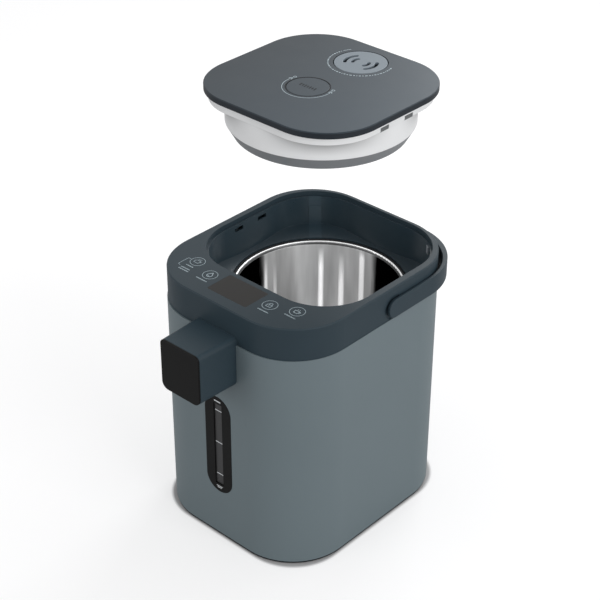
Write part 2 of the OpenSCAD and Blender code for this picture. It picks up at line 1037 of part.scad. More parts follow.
module motor_bracket() {
    color(steel)
        translate([0, pump_y, 0])
            difference() {
                union() {
                    box([-bracket_half.x, -bracket_half.y, pump_z - bracket_thick],
                        [bracket_half.x, bracket_half.y, pump_z]);
                    rod(pump_r, pump_z - bracket_thick, pump_z);
                    for (side = [-1, 1])
                        translate([side * (bracket_half.x - bracket_thick / 2), 0, (pan_top + pump_z) / 2])
                            cube([bracket_thick, 2 * bracket_half.y, pump_z - pan_top], center = true);
                    for (side = [-1, 1])
                        translate([side * (bracket_half.x + bracket_leg / 2), 0, pan_top + bracket_thick / 2])
                            cube([bracket_leg + bracket_thick, 2 * bracket_half.y, bracket_thick],
                                center = true);
                }
                rod(motor_r + seat_fit, pan_top, pump_z + cut);
            }
}

// A hose that runs forward, bends and then runs up or down
module bent_hose(outer, bore, bend, flat, rise) {
    difference() {
        union() {
            rod_y(outer, 0, flat);
            rotate([0, 90, 180])
                quarter_bend(outer, bend);
            translate([0, -bend, bend])
                rod(outer, 0, rise);
        }
        rod_y(bore, 0, flat + cut);
        rotate([0, 90, 180])
            quarter_bend(bore, bend);
        translate([0, -bend, bend])
            rod(bore, 0, rise + cut);
    }
}

module quarter_bend(radius, bend) {
    translate([-bend, 0, 0])
        rotate_extrude(angle = 90)
            translate([bend, 0])
                circle(radius);
}

module delivery_hose() {
    flat = pump_y - pump_r - hose_lap - tube_y - hose_bend;
    color(rubber_clear)
        translate([0, tube_y + hose_bend, pump_out_z])
            bent_hose(hose_r, tube_r + run_fit, hose_bend, flat,
                tube_low + sleeve_lap - pump_out_z - hose_bend);
}

module gauge_tube() {
    color(rubber_clear)
        translate([0, tube_y, 0])
            tube(tube_r, tube_bore, tube_low, tube_high);
}

module gauge_sleeve() {
    color(rubber_clear)
        translate([0, tube_y, 0])
            tube(hose_r, tube_r + run_fit, tube_high - sleeve_lap, valve_z - gap);
}

module gauge_frame() {
    half = gauge_width / 2 - frame_fit;
    color(gloss_black)
        difference() {
            union() {
                translate([0, -shell_half.y - frame_proud + frame_thick / 2, 0])
                    gauge_stadium(half, gauge_low + frame_fit, gauge_high - frame_fit, frame_thick);
                translate([0, -shell_inner.y + (frame_thick - frame_proud - shell_wall) / 2, 0])
                    gauge_stadium(half + frame_flange, gauge_low - frame_flange, gauge_high + frame_flange,
                        frame_thick - frame_proud - shell_wall);
            }
            box([-slit_half, -shell_half.y - frame_proud - cut, gauge_low + slit_ends],
                [slit_half, -shell_inner.y + frame_thick + cut, gauge_high - slit_ends + cut]);
            box([-slit_half - lens_lap - seat_fit, -shell_half.y - frame_proud + frame_thick - lens_thick,
                    gauge_low + slit_ends - lens_lap - seat_fit],
                [slit_half + lens_lap + seat_fit, -shell_inner.y + frame_thick + cut,
                    gauge_high - slit_ends + cut + lens_lap + seat_fit]);
        }
}

module gauge_lens() {
    color(rubber_clear)
        box([-slit_half - lens_lap, -shell_half.y - frame_proud + frame_thick - lens_thick,
                gauge_low + slit_ends - lens_lap],
            [slit_half + lens_lap, -shell_half.y - frame_proud + frame_thick,
                gauge_high - slit_ends + cut + lens_lap]);
}

module tip_valve_body() {
    color(pale_white)
        translate([0, tube_y, 0])
            difference() {
                union() {
                    rod(valve_r, valve_z, valve_top);
                    rod(tube_r, valve_z - valve_nipple, valve_z + cut);
                    translate([0, 0, valve_out_z])
                        rod_y(spout_nipple_r, -tube_back - spout_nipple - cut, 0);
                }
                rod(valve_passage, valve_z - valve_nipple - cut, valve_top);
                rod(valve_bore, valve_z + valve_floor, valve_top + cut);
                translate([0, 0, valve_out_z])
                    rod_y(spout_nipple_bore, -tube_back - spout_nipple - 2 * cut, 0);
            }
}

module tip_valve_cap() {
    color(pale_white)
        translate([0, tube_y, 0]) {
            rod(valve_r, valve_top, valve_top + valve_plug);
            rod(valve_bore - run_fit, valve_top - valve_plug, valve_top + valve_plug);
        }
}

valve_ball_rise = sqrt(pow(valve_ball_r, 2) - pow(valve_passage, 2)) + ball_lift;

module tip_valve_ball() {
    color(steel)
        translate([0, tube_y, valve_z + valve_floor + valve_ball_rise])
            sphere(valve_ball_r);
}

// Spout

// The round-edged block between two planes of the spout, each with its own half width
module spout_form(front_y, back_y, front_half, back_half, shrink) {
    hull()
        for (end = [[front_y, front_half], [back_y, back_half]], side = [-1, 1], up = [-1, 1]) {
            round_r = (up > 0 ? spout_top_round : spout_low_round) - shrink;
            translate([side * (end[1] - shrink - round_r), end[0],
                    spout_z + up * (spout_height / 2 - shrink - round_r)])
                rotate([90, 0, 0])
                    cylinder(r = round_r, h = slab, center = true, $fn = 32);
        }
}

module spout_housing() {
    half = spout_width / 2;
    color(slate)
        difference() {
            union() {
                difference() {
                    spout_form(spout_back_y + slab / 2, -collar_half.y - slab / 2, half, half + spout_flare, 0);
                    spout_form(spout_back_y + spout_wall, -collar_half.y + cut, half, half + spout_flare,
                        spout_wall);
                }
                for (side = [-1, 1])
                    translate([side * spout_screw.x, 0, spout_z - spout_screw.y])
                        rod_y(spout_boss_r, -shell_half.y - spout_boss, -shell_half.y);
            }
            for (side = [-1, 1])
                translate([side * spout_screw.x, 0, spout_z - spout_screw.y])
                    rod_y(screw_r + run_fit, -shell_half.y - screw_length, -shell_half.y + cut);
            box([-body_width, -shell_half.y, spout_low - cut], [body_width, 0, collar_z]);
            translate([0, nozzle_y, 0])
                rod(nozzle_r + seat_fit, spout_low - cut, spout_low + spout_wall + cut);
        }
}

// The spout's outline as a plan: round corners, larger ones below
module spout_plan(half) {
    high = spout_height / 2;
    polygon([
        [-half, spout_low_round - high], [spout_low_round - half, -high],
        [half - spout_low_round, -high], [half, spout_low_round - high],
        [half, high - spout_top_round], [half - spout_top_round, high],
        [spout_top_round - half, high], [-half, high - spout_top_round]
    ]);
    for (side = [-1, 1]) {
        translate([side * (half - spout_top_round), high - spout_top_round])
            circle(spout_top_round);
        translate([side * (half - spout_low_round), spout_low_round - high])
            circle(spout_low_round);
    }
}

module spout_face() {
    color(gloss_black)
        translate([0, spout_back_y, spout_z])
            rotate([90, 0, 0])
                linear_extrude(face_thick)
                    spout_plan(spout_width / 2);
}

module spout_hose() {
    low = spout_low + spout_wall + nozzle_flange_h + gap;
    color(rubber_clear)
        translate([0, nozzle_y + spout_bend, valve_out_z])
            mirror([0, 0, 1])
                bent_hose(spout_hose_r, spout_nipple_r + run_fit, spout_bend,
                    -shell_half.y - 2 * cut - nozzle_y - spout_bend, valve_out_z - spout_bend - low);
}

module outlet_nozzle() {
    low = spout_low - nozzle_drop;
    seat = spout_low + spout_wall;
    color(slate)
        translate([0, nozzle_y, 0])
            difference() {
                union() {
                    rod(nozzle_r, low, seat + cut);
                    rod(nozzle_r + nozzle_flange, seat + seat_fit, seat + nozzle_flange_h);
                    rod(spout_nipple_r, seat, seat + nozzle_flange_h + spout_nipple);
                }
                rod(nozzle_cup, low - cut, low + nozzle_cup_deep);
                rod(spout_nipple_bore, low, seat + nozzle_flange_h + spout_nipple + cut);
            }
}

module spout_screws() {
    color(steel)
        for (side = [-1, 1])
            translate([side * spout_screw.x, -shell_inner.y, spout_z - spout_screw.y])
                rotate([90, 0, 0])
                    screw_up(screw_head_r, screw_head_h, screw_r, screw_length);
}

// Base

module base_pan() {
    pan_half = inset(shell_half, pan_inset);
    inner_half = inset(shell_inner, frame_fit);
    color(slate)
        difference() {
            union() {
                round_block(pan_half, body_corner - pan_inset, foot_height, shell_z);
                round_block(inner_half, shell_inner_corner - frame_fit, foot_height, pan_top);
                round_ring(inner_half, shell_inner_corner - frame_fit, pan_wall, foot_height,
                    shell_z + pan_wall_height);
                at_corners(rod_place)
                    rod(rod_boss_r, foot_height, rod_low);
                translate([0, pump_y, 0])
                    tube(motor_seat_r, motor_r + seat_fit, foot_height, motor_low + pan_flange);
                translate([0, pump_y, 0])
                    rod(motor_seat_r - cut, foot_height, motor_low);
                at_well()
                    translate([0, power_y, 0])
                        at_corners(power_post) {
                            rod(power_post_r, foot_height, power_z);
                            rod(power_pin_r, foot_height, power_z + board_thick + cut);
                        }
            }
            round_ring(inset(shell_half, foot_inset - seat_fit), body_corner - foot_inset + seat_fit,
                foot_width + 2 * seat_fit, foot_height - cut, foot_height + foot_seat);
            at_corners(rod_place) {
                rod(base_head_r + gap, foot_height - cut, foot_height + base_head_h + gap);
                rod(rod_stud_r + run_fit, foot_height, rod_low + cut);
            }
        }
}

module foot_ring() {
    color(rubber_black)
        round_ring(inset(shell_half, foot_inset), body_corner - foot_inset, foot_width, 0,
            foot_height + foot_seat);
}

module tie_rods() {
    color(steel)
        at_corners(rod_place)
            difference() {
                union() {
                    rod(rod_r, rod_low, rod_high);
                    rod(rod_stud_r, rod_low, rod_high + rod_stud);
                }
                rod(rod_stud_r + run_fit, rod_low - cut, rod_low + rod_stud);
            }
}

module power_board() {
    color(board_green)
        at_well()
            translate([0, power_y, 0])
                difference() {
                    box([-power_half.x, -power_half.y, power_z],
                        [power_half.x, power_half.y, power_z + board_thick]);
                    at_corners(power_post)
                        rod(power_pin_r + seat_fit, power_z - cut, power_z + board_thick + cut);
                }
}

module on_board(x, y, size) {
    translate([x - size.x / 2, y - size.y / 2, power_z + board_thick])
        cube(size);
}

module board_components() {
    color(dark_part)
        at_well()
            translate([0, power_y, 0]) {
                on_board(-component_place, 0, transformer);
                for (side = [-1, 1])
                    on_board(component_place / 4, side * relay.y, relay);
                translate([component_place, -relay.y, power_z + board_thick])
                    cylinder(r = capacitor_r, h = capacitor_h);
                on_board(component_place, relay.y, heat_sink);
            }
}

module inlet_socket() {
    face = shell_half.y + inlet_flange_h;
    color(rubber_black)
        difference() {
            union() {
                box([-inlet_half.x - inlet_flange, shell_half.y, inlet_z - inlet_half.y - inlet_flange],
                    [inlet_half.x + inlet_flange, face, inlet_z + inlet_half.y + inlet_flange]);
                box([-inlet_half.x, shell_half.y - inlet_depth, inlet_z - inlet_half.y],
                    [inlet_half.x, face, inlet_z + inlet_half.y]);
            }
            box([-inlet_hollow.x, face - inlet_hollow_deep, inlet_z - inlet_hollow.y],
                [inlet_hollow.x, face + cut, inlet_z + inlet_hollow.y]);
            inlet_pin_set(seat_fit);
        }
}

module inlet_pin_set(grow) {
    back = shell_half.y + inlet_flange_h - inlet_hollow_deep - inlet_pin_root;
    for (place = [[-inlet_pin_x, -inlet_pin_rise], [0, inlet_pin_rise], [inlet_pin_x, -inlet_pin_rise]])
        translate([place.x, back, inlet_z + place.y])
            box([-inlet_pin.x / 2 - grow, 0, -inlet_pin.y / 2 - grow],
                [inlet_pin.x / 2 + grow, inlet_pin_length + inlet_pin_root, inlet_pin.y / 2 + grow]);
}

module inlet_pins() {
    color(steel)
        inlet_pin_set(0);
}

// Handle

module handle() {
    color(slate)
        difference() {
            union() {
                intersection() {
                    difference() {
                        round_block(handle_out, handle_out_corner, handle_z - handle_end_r,
                            handle_z + handle_end_r);
                        round_block(handle_in, handle_in_corner, handle_z - handle_end_r - cut,
                            handle_z + handle_end_r + cut);
                    }
                    union() {
                        translate([0, handle_pivot_y, handle_z])
                            rotate([0, 90, 0])
                                cylinder(r = handle_end_r, h = 4 * handle_out.x, center = true);
                        box([-2 * handle_out.x, handle_pivot_y, handle_z - handle_end_r],
                            [2 * handle_out.x, 2 * handle_out.y, handle_z + handle_end_r]);
                    }
                }
                for (side = [-1, 1])
                    translate([side * stub_end_x, handle_pivot_y, handle_z])
                        rotate([0, side * 90, 0])
                            rod(pivot_r, 0, handle_in.x + handle_arm / 2 - stub_end_x);
            }
            for (side = [-1, 1])
                translate([side * stub_end_x, handle_pivot_y, handle_z])
                    rotate([0, side * 90, 0])
                        rod(screw_r + run_fit, -cut, handle_in.x + handle_arm / 3 - stub_end_x);
        }
}

module handle_washers() {
    color(steel)
        for (side = [-1, 1])
            translate([side * stub_end_x, handle_pivot_y, handle_z])
                rotate([0, -side * 90, 0])
                    tube(washer_r, screw_r + run_fit, 0, washer_thick);
}

module handle_screws() {
    color(steel)
        for (side = [-1, 1])
            translate([side * (stub_end_x - washer_thick), handle_pivot_y, handle_z])
                rotate([0, side * 90, 0])
                    screw_up(screw_head_r, screw_head_h, screw_r,
                        handle_in.x - stub_end_x + washer_thick);
}

// Lid

module lid_plate() {
    strip = 4 * plate_chamfer;
    color(slate_blue)
        at_lid() {
            difference() {
                union() {
                    edge_run(plate_half, plate_corner)
                        bevelled_strip(strip, plate_z, lid_top, plate_chamfer);
                    round_block(inset(plate_half, strip), plate_corner - strip, plate_z, lid_top);
                    at_corners([lid_screw, lid_screw])
                        rod(lid_post_r, floor_z, plate_z + cut);
                }
                translate([0, button_y, 0])
                    rod(button_r + button_gap, plate_z - cut, lid_top + cut);
                translate([0, vent_y, 0])
                    rod(vent_r + vent_gap, plate_z - cut, lid_top + cut);
                at_corners([lid_screw, lid_screw])
                    rod(screw_r + run_fit, floor_z - cut, seal_z + screw_length + gap);
            }
        }
}

module lid_body() {
    pocket_r = vent_r + vent_gap;
    window_in = yoke_x + yoke_width - gap;
    window_out = skirt_half.x + cut;
    color(pale_white)
        at_lid()
            difference() {
                union() {
                    difference() {
                        union() {
                            rod(core_r, seal_z, skirt_z + lid_wall);
                            round_block(skirt_half, skirt_corner, skirt_z, plate_z);
                        }
                        rod(core_r - lid_wall, floor_z, plate_z);
                        round_block(inset(skirt_half, lid_wall), skirt_corner - lid_wall, skirt_z + lid_wall,
                            plate_z + cut);
                    }
                    translate([0, button_y, 0]) {
                        rod(post_r, seal_z, cam_z - seat_fit);
                        rod(spigot_r, seal_z, cam_z + spigot);
                    }
                    for (side = [-1, 1])
                        translate([side * rest_x, button_y, (floor_z + latch_z - cut) / 2])
                            cube([rest_width, latch_bar, latch_z - floor_z + cut - 2 * seat_fit],
                                center = true);
                    translate([0, vent_y, 0]) {
                        rod(pocket_r + pocket_wall, vent_seat_z - vent_seat, plate_z);
                        rod(duct_r, seal_z, vent_seat_z);
                    }
                }
                translate([0, vent_y, 0]) {
                    rod(pocket_r, vent_seat_z, plate_z + cut);
                    rod(duct_bore, floor_z, plate_z);
                    rod(steam_hole, seal_z - cut, plate_z);
                }
                for (side = [-1, 1], place = [-1, 1])
                    translate([side * (window_in + window_out) / 2, place * tongue_place,
                            latch_z + latch_thick / 2])
                        cube([window_out - window_in, tongue_width + 2 * tongue_fit,
                            latch_thick + 2 * tongue_fit], center = true);
                at_corners([lid_screw, lid_screw])
                    rod(screw_r + gap, seal_z - cut, floor_z + cut);
            }
}

module lid_seal() {
    color(seal_grey)
        at_lid()
            rotate_extrude()
                polygon([
                    [seal_in + seal_lip, seal_low],
                    [seal_low_r, seal_low],
                    [core_r, seal_z],
                    [seal_in, seal_z],
                    [seal_in, seal_low + seal_lip]
                ]);
}

module lid_inner_cover() {
    color(steel)
        at_lid()
            difference() {
                union() {
                    rod(cover_r, cover_z, cover_z + cover_thick);
                    tube(cover_r, cover_r - cover_thick, cover_z, cover_z + cover_rim);
                    rod(cover_dish_r + cover_thick, cover_z, cover_z + cover_dish + cover_thick);
                }
                rod(cover_dish_r, cover_z - cut, cover_z + cover_dish);
                translate([0, vent_y - cover_hole_ring, 0])
                    for (i = [0 : 5])
                        rotate([0, 0, 60 * i])
                            translate([cover_hole_ring / 2, 0, 0])
                                rod(cover_hole_r / 2, cover_z - cut, cover_z + cover_dish + cover_rim);
            }
}

module lid_screws() {
    color(steel)
        at_lid()
            translate([0, 0, seal_z])
                at_corners([lid_screw, lid_screw])
                    screw_up(screw_head_r, screw_head_h, screw_r, screw_length);
}

// The spiral that draws a latch out as the cam turns, widened for the latch's pin
function cam_at(share, side) =
    (cam_start_r + latch_travel * share + side * (cam_pin_r + cam_slot))
    * [cos(-lock_turn * share), sin(-lock_turn * share)];
cam_path = concat(
    [for (i = [0 : cam_steps]) cam_at(i / cam_steps, 1)],
    [for (i = [cam_steps : -1 : 0]) cam_at(i / cam_steps, -1)]
);

module cam_slots() {
    for (half_turn = [0, 180])
        rotate([0, 0, half_turn])
            translate([0, 0, cam_z - cut])
                linear_extrude(cam_thick + 2 * cut) {
                    polygon(cam_path);
                    for (share = [0, 1])
                        translate(cam_at(share, 0))
                            circle(cam_pin_r + cam_slot);
                }
}

module lock_cam() {
    top = cam_z + cam_thick;
    color(pale_white)
        at_lid()
            translate([0, button_y, 0])
                difference() {
                    union() {
                        rod(cam_r, cam_z, top);
                        rod(hub_r, cam_z, top + hub_height);
                    }
                    cam_slots();
                    rod(spigot_r + run_fit, cam_z - cut, cam_z + spigot + seat_fit);
                    translate([-stem / 2 - stem_fit, -stem / 2 - stem_fit, cam_z + spigot + cam_web])
                        cube([stem + 2 * stem_fit, stem + 2 * stem_fit, cam_thick + hub_height]);
                }
}

spring_low = cam_z + cam_thick + spring_wire + seat_fit;
spring_high = lid_top - button_thick - spring_wire - seat_fit;
spring_count = spring_turns * spring_steps;

// One ring of the spring's wire at a step along its helix
function spring_ring(i) = [
    for (k = [0 : spring_sides - 1])
        let (turn = 360 * i / spring_steps, side = 360 * k / spring_sides)
            [(spring_r + spring_wire * cos(side)) * cos(turn),
                (spring_r + spring_wire * cos(side)) * sin(turn),
                spring_low + (spring_high - spring_low) * i / spring_count + spring_wire * sin(side)]
];

module button_spring() {
    rings = [for (i = [0 : spring_count]) each spring_ring(i)];
    start = [for (k = [0 : spring_sides - 1]) k];
    end = [for (k = [spring_sides - 1 : -1 : 0]) spring_count * spring_sides + k];
    walls = [
        for (i = [0 : spring_count - 1], k = [0 : spring_sides - 1], half = [0, 1])
            let (a = i * spring_sides + k, b = i * spring_sides + (k + 1) % spring_sides)
                half == 0 ? [a, a + spring_sides, b] : [b, a + spring_sides, b + spring_sides]
    ];
    color(steel)
        at_lid()
            translate([0, button_y, 0])
                polyhedron(points = rings, faces = concat([start], [end], walls));
}

module lid_button() {
    color(slate_blue)
        at_lid()
            translate([0, button_y, 0]) {
                rod(button_r, lid_top - button_thick, lid_top);
                tube(button_r, button_r - button_wall, lid_top - button_thick - button_skirt,
                    lid_top - button_thick + cut);
                stem_low = cam_z + spigot + cam_web + button_travel + 2 * gap;
                translate([-stem / 2, -stem / 2, stem_low])
                    cube([stem, stem, lid_top - button_thick - stem_low + cut]);
            }
}

module latch() {
    box([latch_inner_x, button_y - latch_bar / 2, latch_z],
        [yoke_x + cut, button_y + latch_bar / 2, latch_z + latch_thick]);
    box([yoke_x, -yoke_half, latch_z], [yoke_x + yoke_width, yoke_half, latch_z + latch_thick]);
    for (place = [-1, 1])
        box([yoke_x + yoke_width - cut, place * tongue_place - tongue_width / 2, latch_z],
            [tongue_x, place * tongue_place + tongue_width / 2, latch_z + latch_thick]);
    translate([cam_start_r, button_y, 0])
        rod(cam_pin_r, cam_z + gap, latch_z + cut);
}

module latch_right() {
    color(dark_part)
        at_lid()
            latch();
}

module latch_left() {
    color(dark_part)
        at_lid()
            mirror([1, 0, 0])
                latch();
}

module vent_slot(radius, turn) {
    rotate([0, 0, -turn])
        rotate_extrude(angle = 2 * turn)
            translate([radius - slot_width / 2, lid_top - vent_thick - cut])
                square([slot_width, vent_thick + 2 * cut]);
    for (end = [-turn, turn])
        rotate([0, 0, end])
            translate([radius, 0, 0])
                rod(slot_width / 2, lid_top - vent_thick - cut, lid_top + cut);
}

module vent_cap() {
    color(cap_blue)
        at_lid()
            translate([0, vent_y, 0])
                difference() {
                    union() {
                        rod(vent_r, lid_top - vent_thick, lid_top);
                        tube(vent_r, vent_r - vent_wall, vent_seat_z + gap, lid_top - vent_thick + cut);
                    }
                    for (half_turn = [0, 180])
                        rotate([0, 0, half_turn]) {
                            vent_slot(slot_long_r, slot_long_turn);
                            vent_slot(slot_short_r, slot_short_turn);
                        }
                }
}

module vent_gasket() {
    color(rubber_black)
        at_lid()
            translate([0, vent_y, 0])
                tube(vent_gasket_out, vent_gasket_in, vent_seat_z, vent_seat_z + vent_gasket_h);
}

steam_ball_rise = sqrt(pow(steam_ball_r, 2) - pow(steam_hole, 2)) + ball_lift;

module steam_ball() {
    color(steel)
        at_lid()
            translate([0, vent_y, floor_z + steam_ball_rise])
                sphere(steam_ball_r);
}

outer_shell();
top_collar();
well_liner();
lid_sensor();
display_window();
display_module();
control_board();
touch_pads();
body_screws();
inner_pot();
pot_gasket();
insulation_sleeve();
heater_plate();
heating_element();
thermostats();
thermal_fuse();
suction_hose();
pump_housing();
pump_cover();
shaft_seal();
impeller();
motor_case();
motor_rotor();
motor_bracket();
delivery_hose();
gauge_tube();
gauge_sleeve();
gauge_frame();
gauge_lens();
tip_valve_body();
tip_valve_cap();
tip_valve_ball();
spout_housing();
spout_face();
spout_hose();
outlet_nozzle();
spout_screws();
base_pan();
foot_ring();
tie_rods();
power_board();
board_components();
inlet_socket();
inlet_pins();
handle();
handle_washers();
handle_screws();
lid_plate();
lid_body();
lid_seal();
lid_inner_cover();
lid_screws();
lock_cam();
button_spring();
lid_button();
latch_right();
latch_left();
vent_cap();
vent_gasket();
steam_ball();
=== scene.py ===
# %% [markdown]
# # An electric thermo pot, dressed for its portrait
# The pot's shape comes from a imported CAD model, which is the fixed frame of this scene. What is added
# here is what a camera sees: finishes, some with painted light and shade, softened edges, the prints on
# deck, lid and window, two dark rubber strips behind the handle, and the light. Every piece sits where the
# CAD says, in metres, so nothing has to be fitted by eye.

# %% Load the frame
import math

import bmesh
import bpy
from mathutils import Matrix, Quaternion, Vector


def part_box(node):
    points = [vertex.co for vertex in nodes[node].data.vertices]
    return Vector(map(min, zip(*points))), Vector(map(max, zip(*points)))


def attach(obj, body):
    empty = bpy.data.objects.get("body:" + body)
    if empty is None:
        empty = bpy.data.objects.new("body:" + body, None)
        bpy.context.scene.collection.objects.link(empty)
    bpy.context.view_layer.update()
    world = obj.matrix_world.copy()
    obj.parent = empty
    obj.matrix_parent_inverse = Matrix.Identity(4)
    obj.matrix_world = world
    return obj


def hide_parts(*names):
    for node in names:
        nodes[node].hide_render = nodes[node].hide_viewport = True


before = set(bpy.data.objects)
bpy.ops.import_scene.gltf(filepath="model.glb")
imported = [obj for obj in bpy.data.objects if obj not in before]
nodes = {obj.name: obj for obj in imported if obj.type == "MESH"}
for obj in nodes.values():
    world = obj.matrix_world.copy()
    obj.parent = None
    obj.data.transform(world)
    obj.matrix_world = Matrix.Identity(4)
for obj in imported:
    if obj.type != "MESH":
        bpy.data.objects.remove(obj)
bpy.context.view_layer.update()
MM = 0.001

# %% [markdown]
# ## The camera
# A product picture like this one is taken with a long lens from well above the rim, so that the
# deck, the open well and the lid that floats over it are all seen. The lens and the place were
# worked out from the pot's own edges, and the camera looks a little past the pot's centre.

# %% Camera
CAMERA_PLACE = Vector((0.95142, -1.04845, 1.14495))
CAMERA_AZIMUTH = math.radians(42.35)
CAMERA_ELEVATION = math.radians(32.49)
CAMERA_ROLL = math.radians(0.25)
LENS_MM = 94.81
SENSOR_MM = 36.0
FRAME_SHIFT = (-0.001, -0.0004)


def towards_camera(azimuth, elevation):
    """The direction from the pot to the camera."""
    flat = math.cos(elevation)
    return Vector((math.sin(azimuth) * flat, -math.cos(azimuth) * flat, math.sin(elevation)))


camera_data = bpy.data.cameras.new("portrait_lens")
camera_data.lens = LENS_MM
camera_data.sensor_width = SENSOR_MM
camera_data.shift_x, camera_data.shift_y = FRAME_SHIFT
camera = bpy.data.objects.new("portrait_camera", camera_data)
camera.location = CAMERA_PLACE
back = towards_camera(CAMERA_AZIMUTH, CAMERA_ELEVATION)
level = (-back).to_track_quat("-Z", "Y")
camera.rotation_euler = (level @ Quaternion((0, 0, 1), CAMERA_ROLL)).to_euler()
bpy.context.scene.collection.objects.link(camera)
bpy.context.scene.camera = camera
bpy.context.scene.view_settings.view_transform = "Standard"
print("camera", round(CAMERA_PLACE.length, 2), "m from the pot's foot")

# %% [markdown]
# ## Sums with sockets
# A finish is a small sum: a base colour, plus a little noise, a bit darker where an edge is worn.
# Blender writes such a sum as a net of Math nodes. Building that net by hand is slow and hard to
# read, so a small class wraps a socket and lets Python's own signs add the nodes.

# %% Socket class


class Sock:
    """An output socket that can stand in a Python sum. Each sign adds one Math node."""

    def __init__(self, tree, socket):
        self.tree = tree
        self.socket = socket

    def _maths(self, operation, first, second):
        node = self.tree.nodes.new("ShaderNodeMath")
        node.operation = operation
        for slot, value in zip(node.inputs, (first, second)):
            if isinstance(value, Sock):
                self.tree.links.new(value.socket, slot)
            else:
                slot.default_value = value
        return Sock(self.tree, node.outputs[0])

    def __add__(self, other):
        return self._maths("ADD", self, other)

    def __radd__(self, other):
        return self._maths("ADD", other, self)

    def __sub__(self, other):
        return self._maths("SUBTRACT", self, other)

    def __rsub__(self, other):
        return self._maths("SUBTRACT", other, self)

    def __mul__(self, other):
        return self._maths("MULTIPLY", self, other)

    def __rmul__(self, other):
        return self._maths("MULTIPLY", other, self)

    def __truediv__(self, other):
        return self._maths("DIVIDE", self, other)

    def __rtruediv__(self, other):
        return self._maths("DIVIDE", other, self)

    def __pow__(self, other):
        return self._maths("POWER", self, other)

    def __rpow__(self, other):
        return self._maths("POWER", other, self)

    def held(self):
        """The value, kept from 0 to 1."""
        capped = self._maths("MINIMUM", self, 1.0)
        return self._maths("MAXIMUM", capped, 0.0)

    def between(self, low, high):
        """0 below low, 1 above high, straight in between."""
        return ((self - low) * (1 / (high - low))).held()


print("signs that sockets take: + - * / **")

# %% [markdown]
# ## One way to make a node
# Everything that isn't a sum comes from one method. It takes the node's type, its settings, which
# have to be there before its sockets, and then the values or links of its sockets. A finish is
# such a net with one Principled shader at its end, and the studio's air is another.

# %% Net and finish


class Net:
    """A net of shader nodes, with the one method that makes a node."""

    def __init__(self, tree):
        self.tree = tree
        self.tree.nodes.clear()

    def node(self, kind, settings=None, sockets=None):
        made = self.tree.nodes.new(kind)
        for name, value in (settings or {}).items():
            setattr(made, name, value)
        for name, value in (sockets or {}).items():
            self.feed(made.inputs[name], value)
        return made

    def feed(self, slot, value):
        if isinstance(value, Sock):
            self.tree.links.new(value.socket, slot)
        else:
            slot.default_value = value

    def out(self, node, name=0):
        return Sock(self.tree, node.outputs[name])


class Finish(Net):
    """A material that is built up around one Principled shader."""

    def __init__(self, name):
        self.material = bpy.data.materials.new(name)
        self.material.use_nodes = True
        super().__init__(self.material.node_tree)
        self.shader = self.node("ShaderNodeBsdfPrincipled")
        self.end = self.node("ShaderNodeOutputMaterial", {}, {"Surface": self.out(self.shader, "BSDF")})

    def place(self):
        """Where the surface point is, in metres, in the piece's own frame."""
        return self.out(self.node("ShaderNodeTexCoord"), "Object")

    def true_normal(self):
        """The way the mesh really faces there."""
        return self.out(self.node("ShaderNodeNewGeometry"), "Normal")

    def parts(self, vector):
        """The X, Y and Z of a vector."""
        split = self.node("ShaderNodeSeparateXYZ", {}, {0: vector})
        return [self.out(split, axis) for axis in range(3)]

    def noise(self, scale, detail=2.0, stretch=None):
        """Smooth cloudy values around one half. stretch squeezes it along X, Y and Z."""
        place = self.place()
        if stretch:
            squeezed = self.node("ShaderNodeVectorMath", {"operation": "MULTIPLY"}, {0: place, 1: stretch})
            place = self.out(squeezed)
        texture = self.node("ShaderNodeTexNoise", {}, {"Vector": place, "Scale": scale, "Detail": detail})
        return self.out(texture, "Fac")

    def blend(self, share, low, high):
        """From one colour to another."""
        mix = self.node("ShaderNodeMix", {"data_type": "RGBA"}, {0: share, 6: low, 7: high})
        return self.out(mix, 2)

    def set(self, **sockets):
        for name, value in sockets.items():
            self.feed(self.shader.inputs[name.replace("_", " ")], value)


BLACK = (0, 0, 0, 1)
WHITE = (1, 1, 1, 1)


def linear(*rgb):
    """A colour read off a screen, 0 to 255, as the light that a shader works with."""
    out = []
    for value in rgb:
        share = value / 255
        out.append(share / 12.92 if share <= 0.04045 else ((share + 0.055) / 1.055) ** 2.4)
    return (*out, 1.0)


def shaded(colour, share):
    """The same colour, lighter or darker."""
    return (*(min(1.0, channel * share) for channel in colour[:3]), 1.0)


def clouded(finish, cloud, colour, reach):
    """A colour that a noise makes a little darker and lighter."""
    return finish.blend(cloud, shaded(colour, 1 - reach), shaded(colour, 1 + reach))


def swing(noise, reach):
    """A noise as a small change to either side of nothing."""
    return (noise - 0.5) * reach


print("helpers for finishes: linear, shaded, clouded, swing")

# %% [markdown]
# ## Moulded plastic
# The collar, spout, handle and base are one slate plastic from a mould with a fine spark-eroded
# skin. Up close it isn't one colour: the pigment clouds by a few percent, the skin breaks up the
# gloss, and the edges are never knife sharp. The grain is a small bump, and the Bevel node rounds
# what the mesh leaves sharp by a few tenths of a millimetre, so each edge catches a line of light.
# Where that rounded direction leaves the true one is an edge, and there a painted highlight makes it paler.

# %% Moulded plastic
PIGMENT_NOISE = (38.0, 3.0)
PIGMENT_REACH = 0.05
PIGMENT_GLOSS = 0.08
SPECK_NOISE = (900.0, 1.0)
SPECK_GLOSS = 0.05
GRAIN_NOISE = (2600.0, 2.0)
GRAIN_RELIEF = (0.35, 0.02 * MM)
MOULDED_EDGE = 0.5 * MM
EDGE_HIGHLIGHT_GAIN = 3.0
EDGE_HIGHLIGHT_SHARE = 2.2


def pigment(finish):
    """The slow clouds in a moulded part's colour."""
    return finish.noise(*PIGMENT_NOISE)


def rounded_normal(finish, radius):
    """The way the surface faces once its sharp edges are rounded off."""
    return finish.out(finish.node("ShaderNodeBevel", {"samples": 4}, {"Radius": radius}))


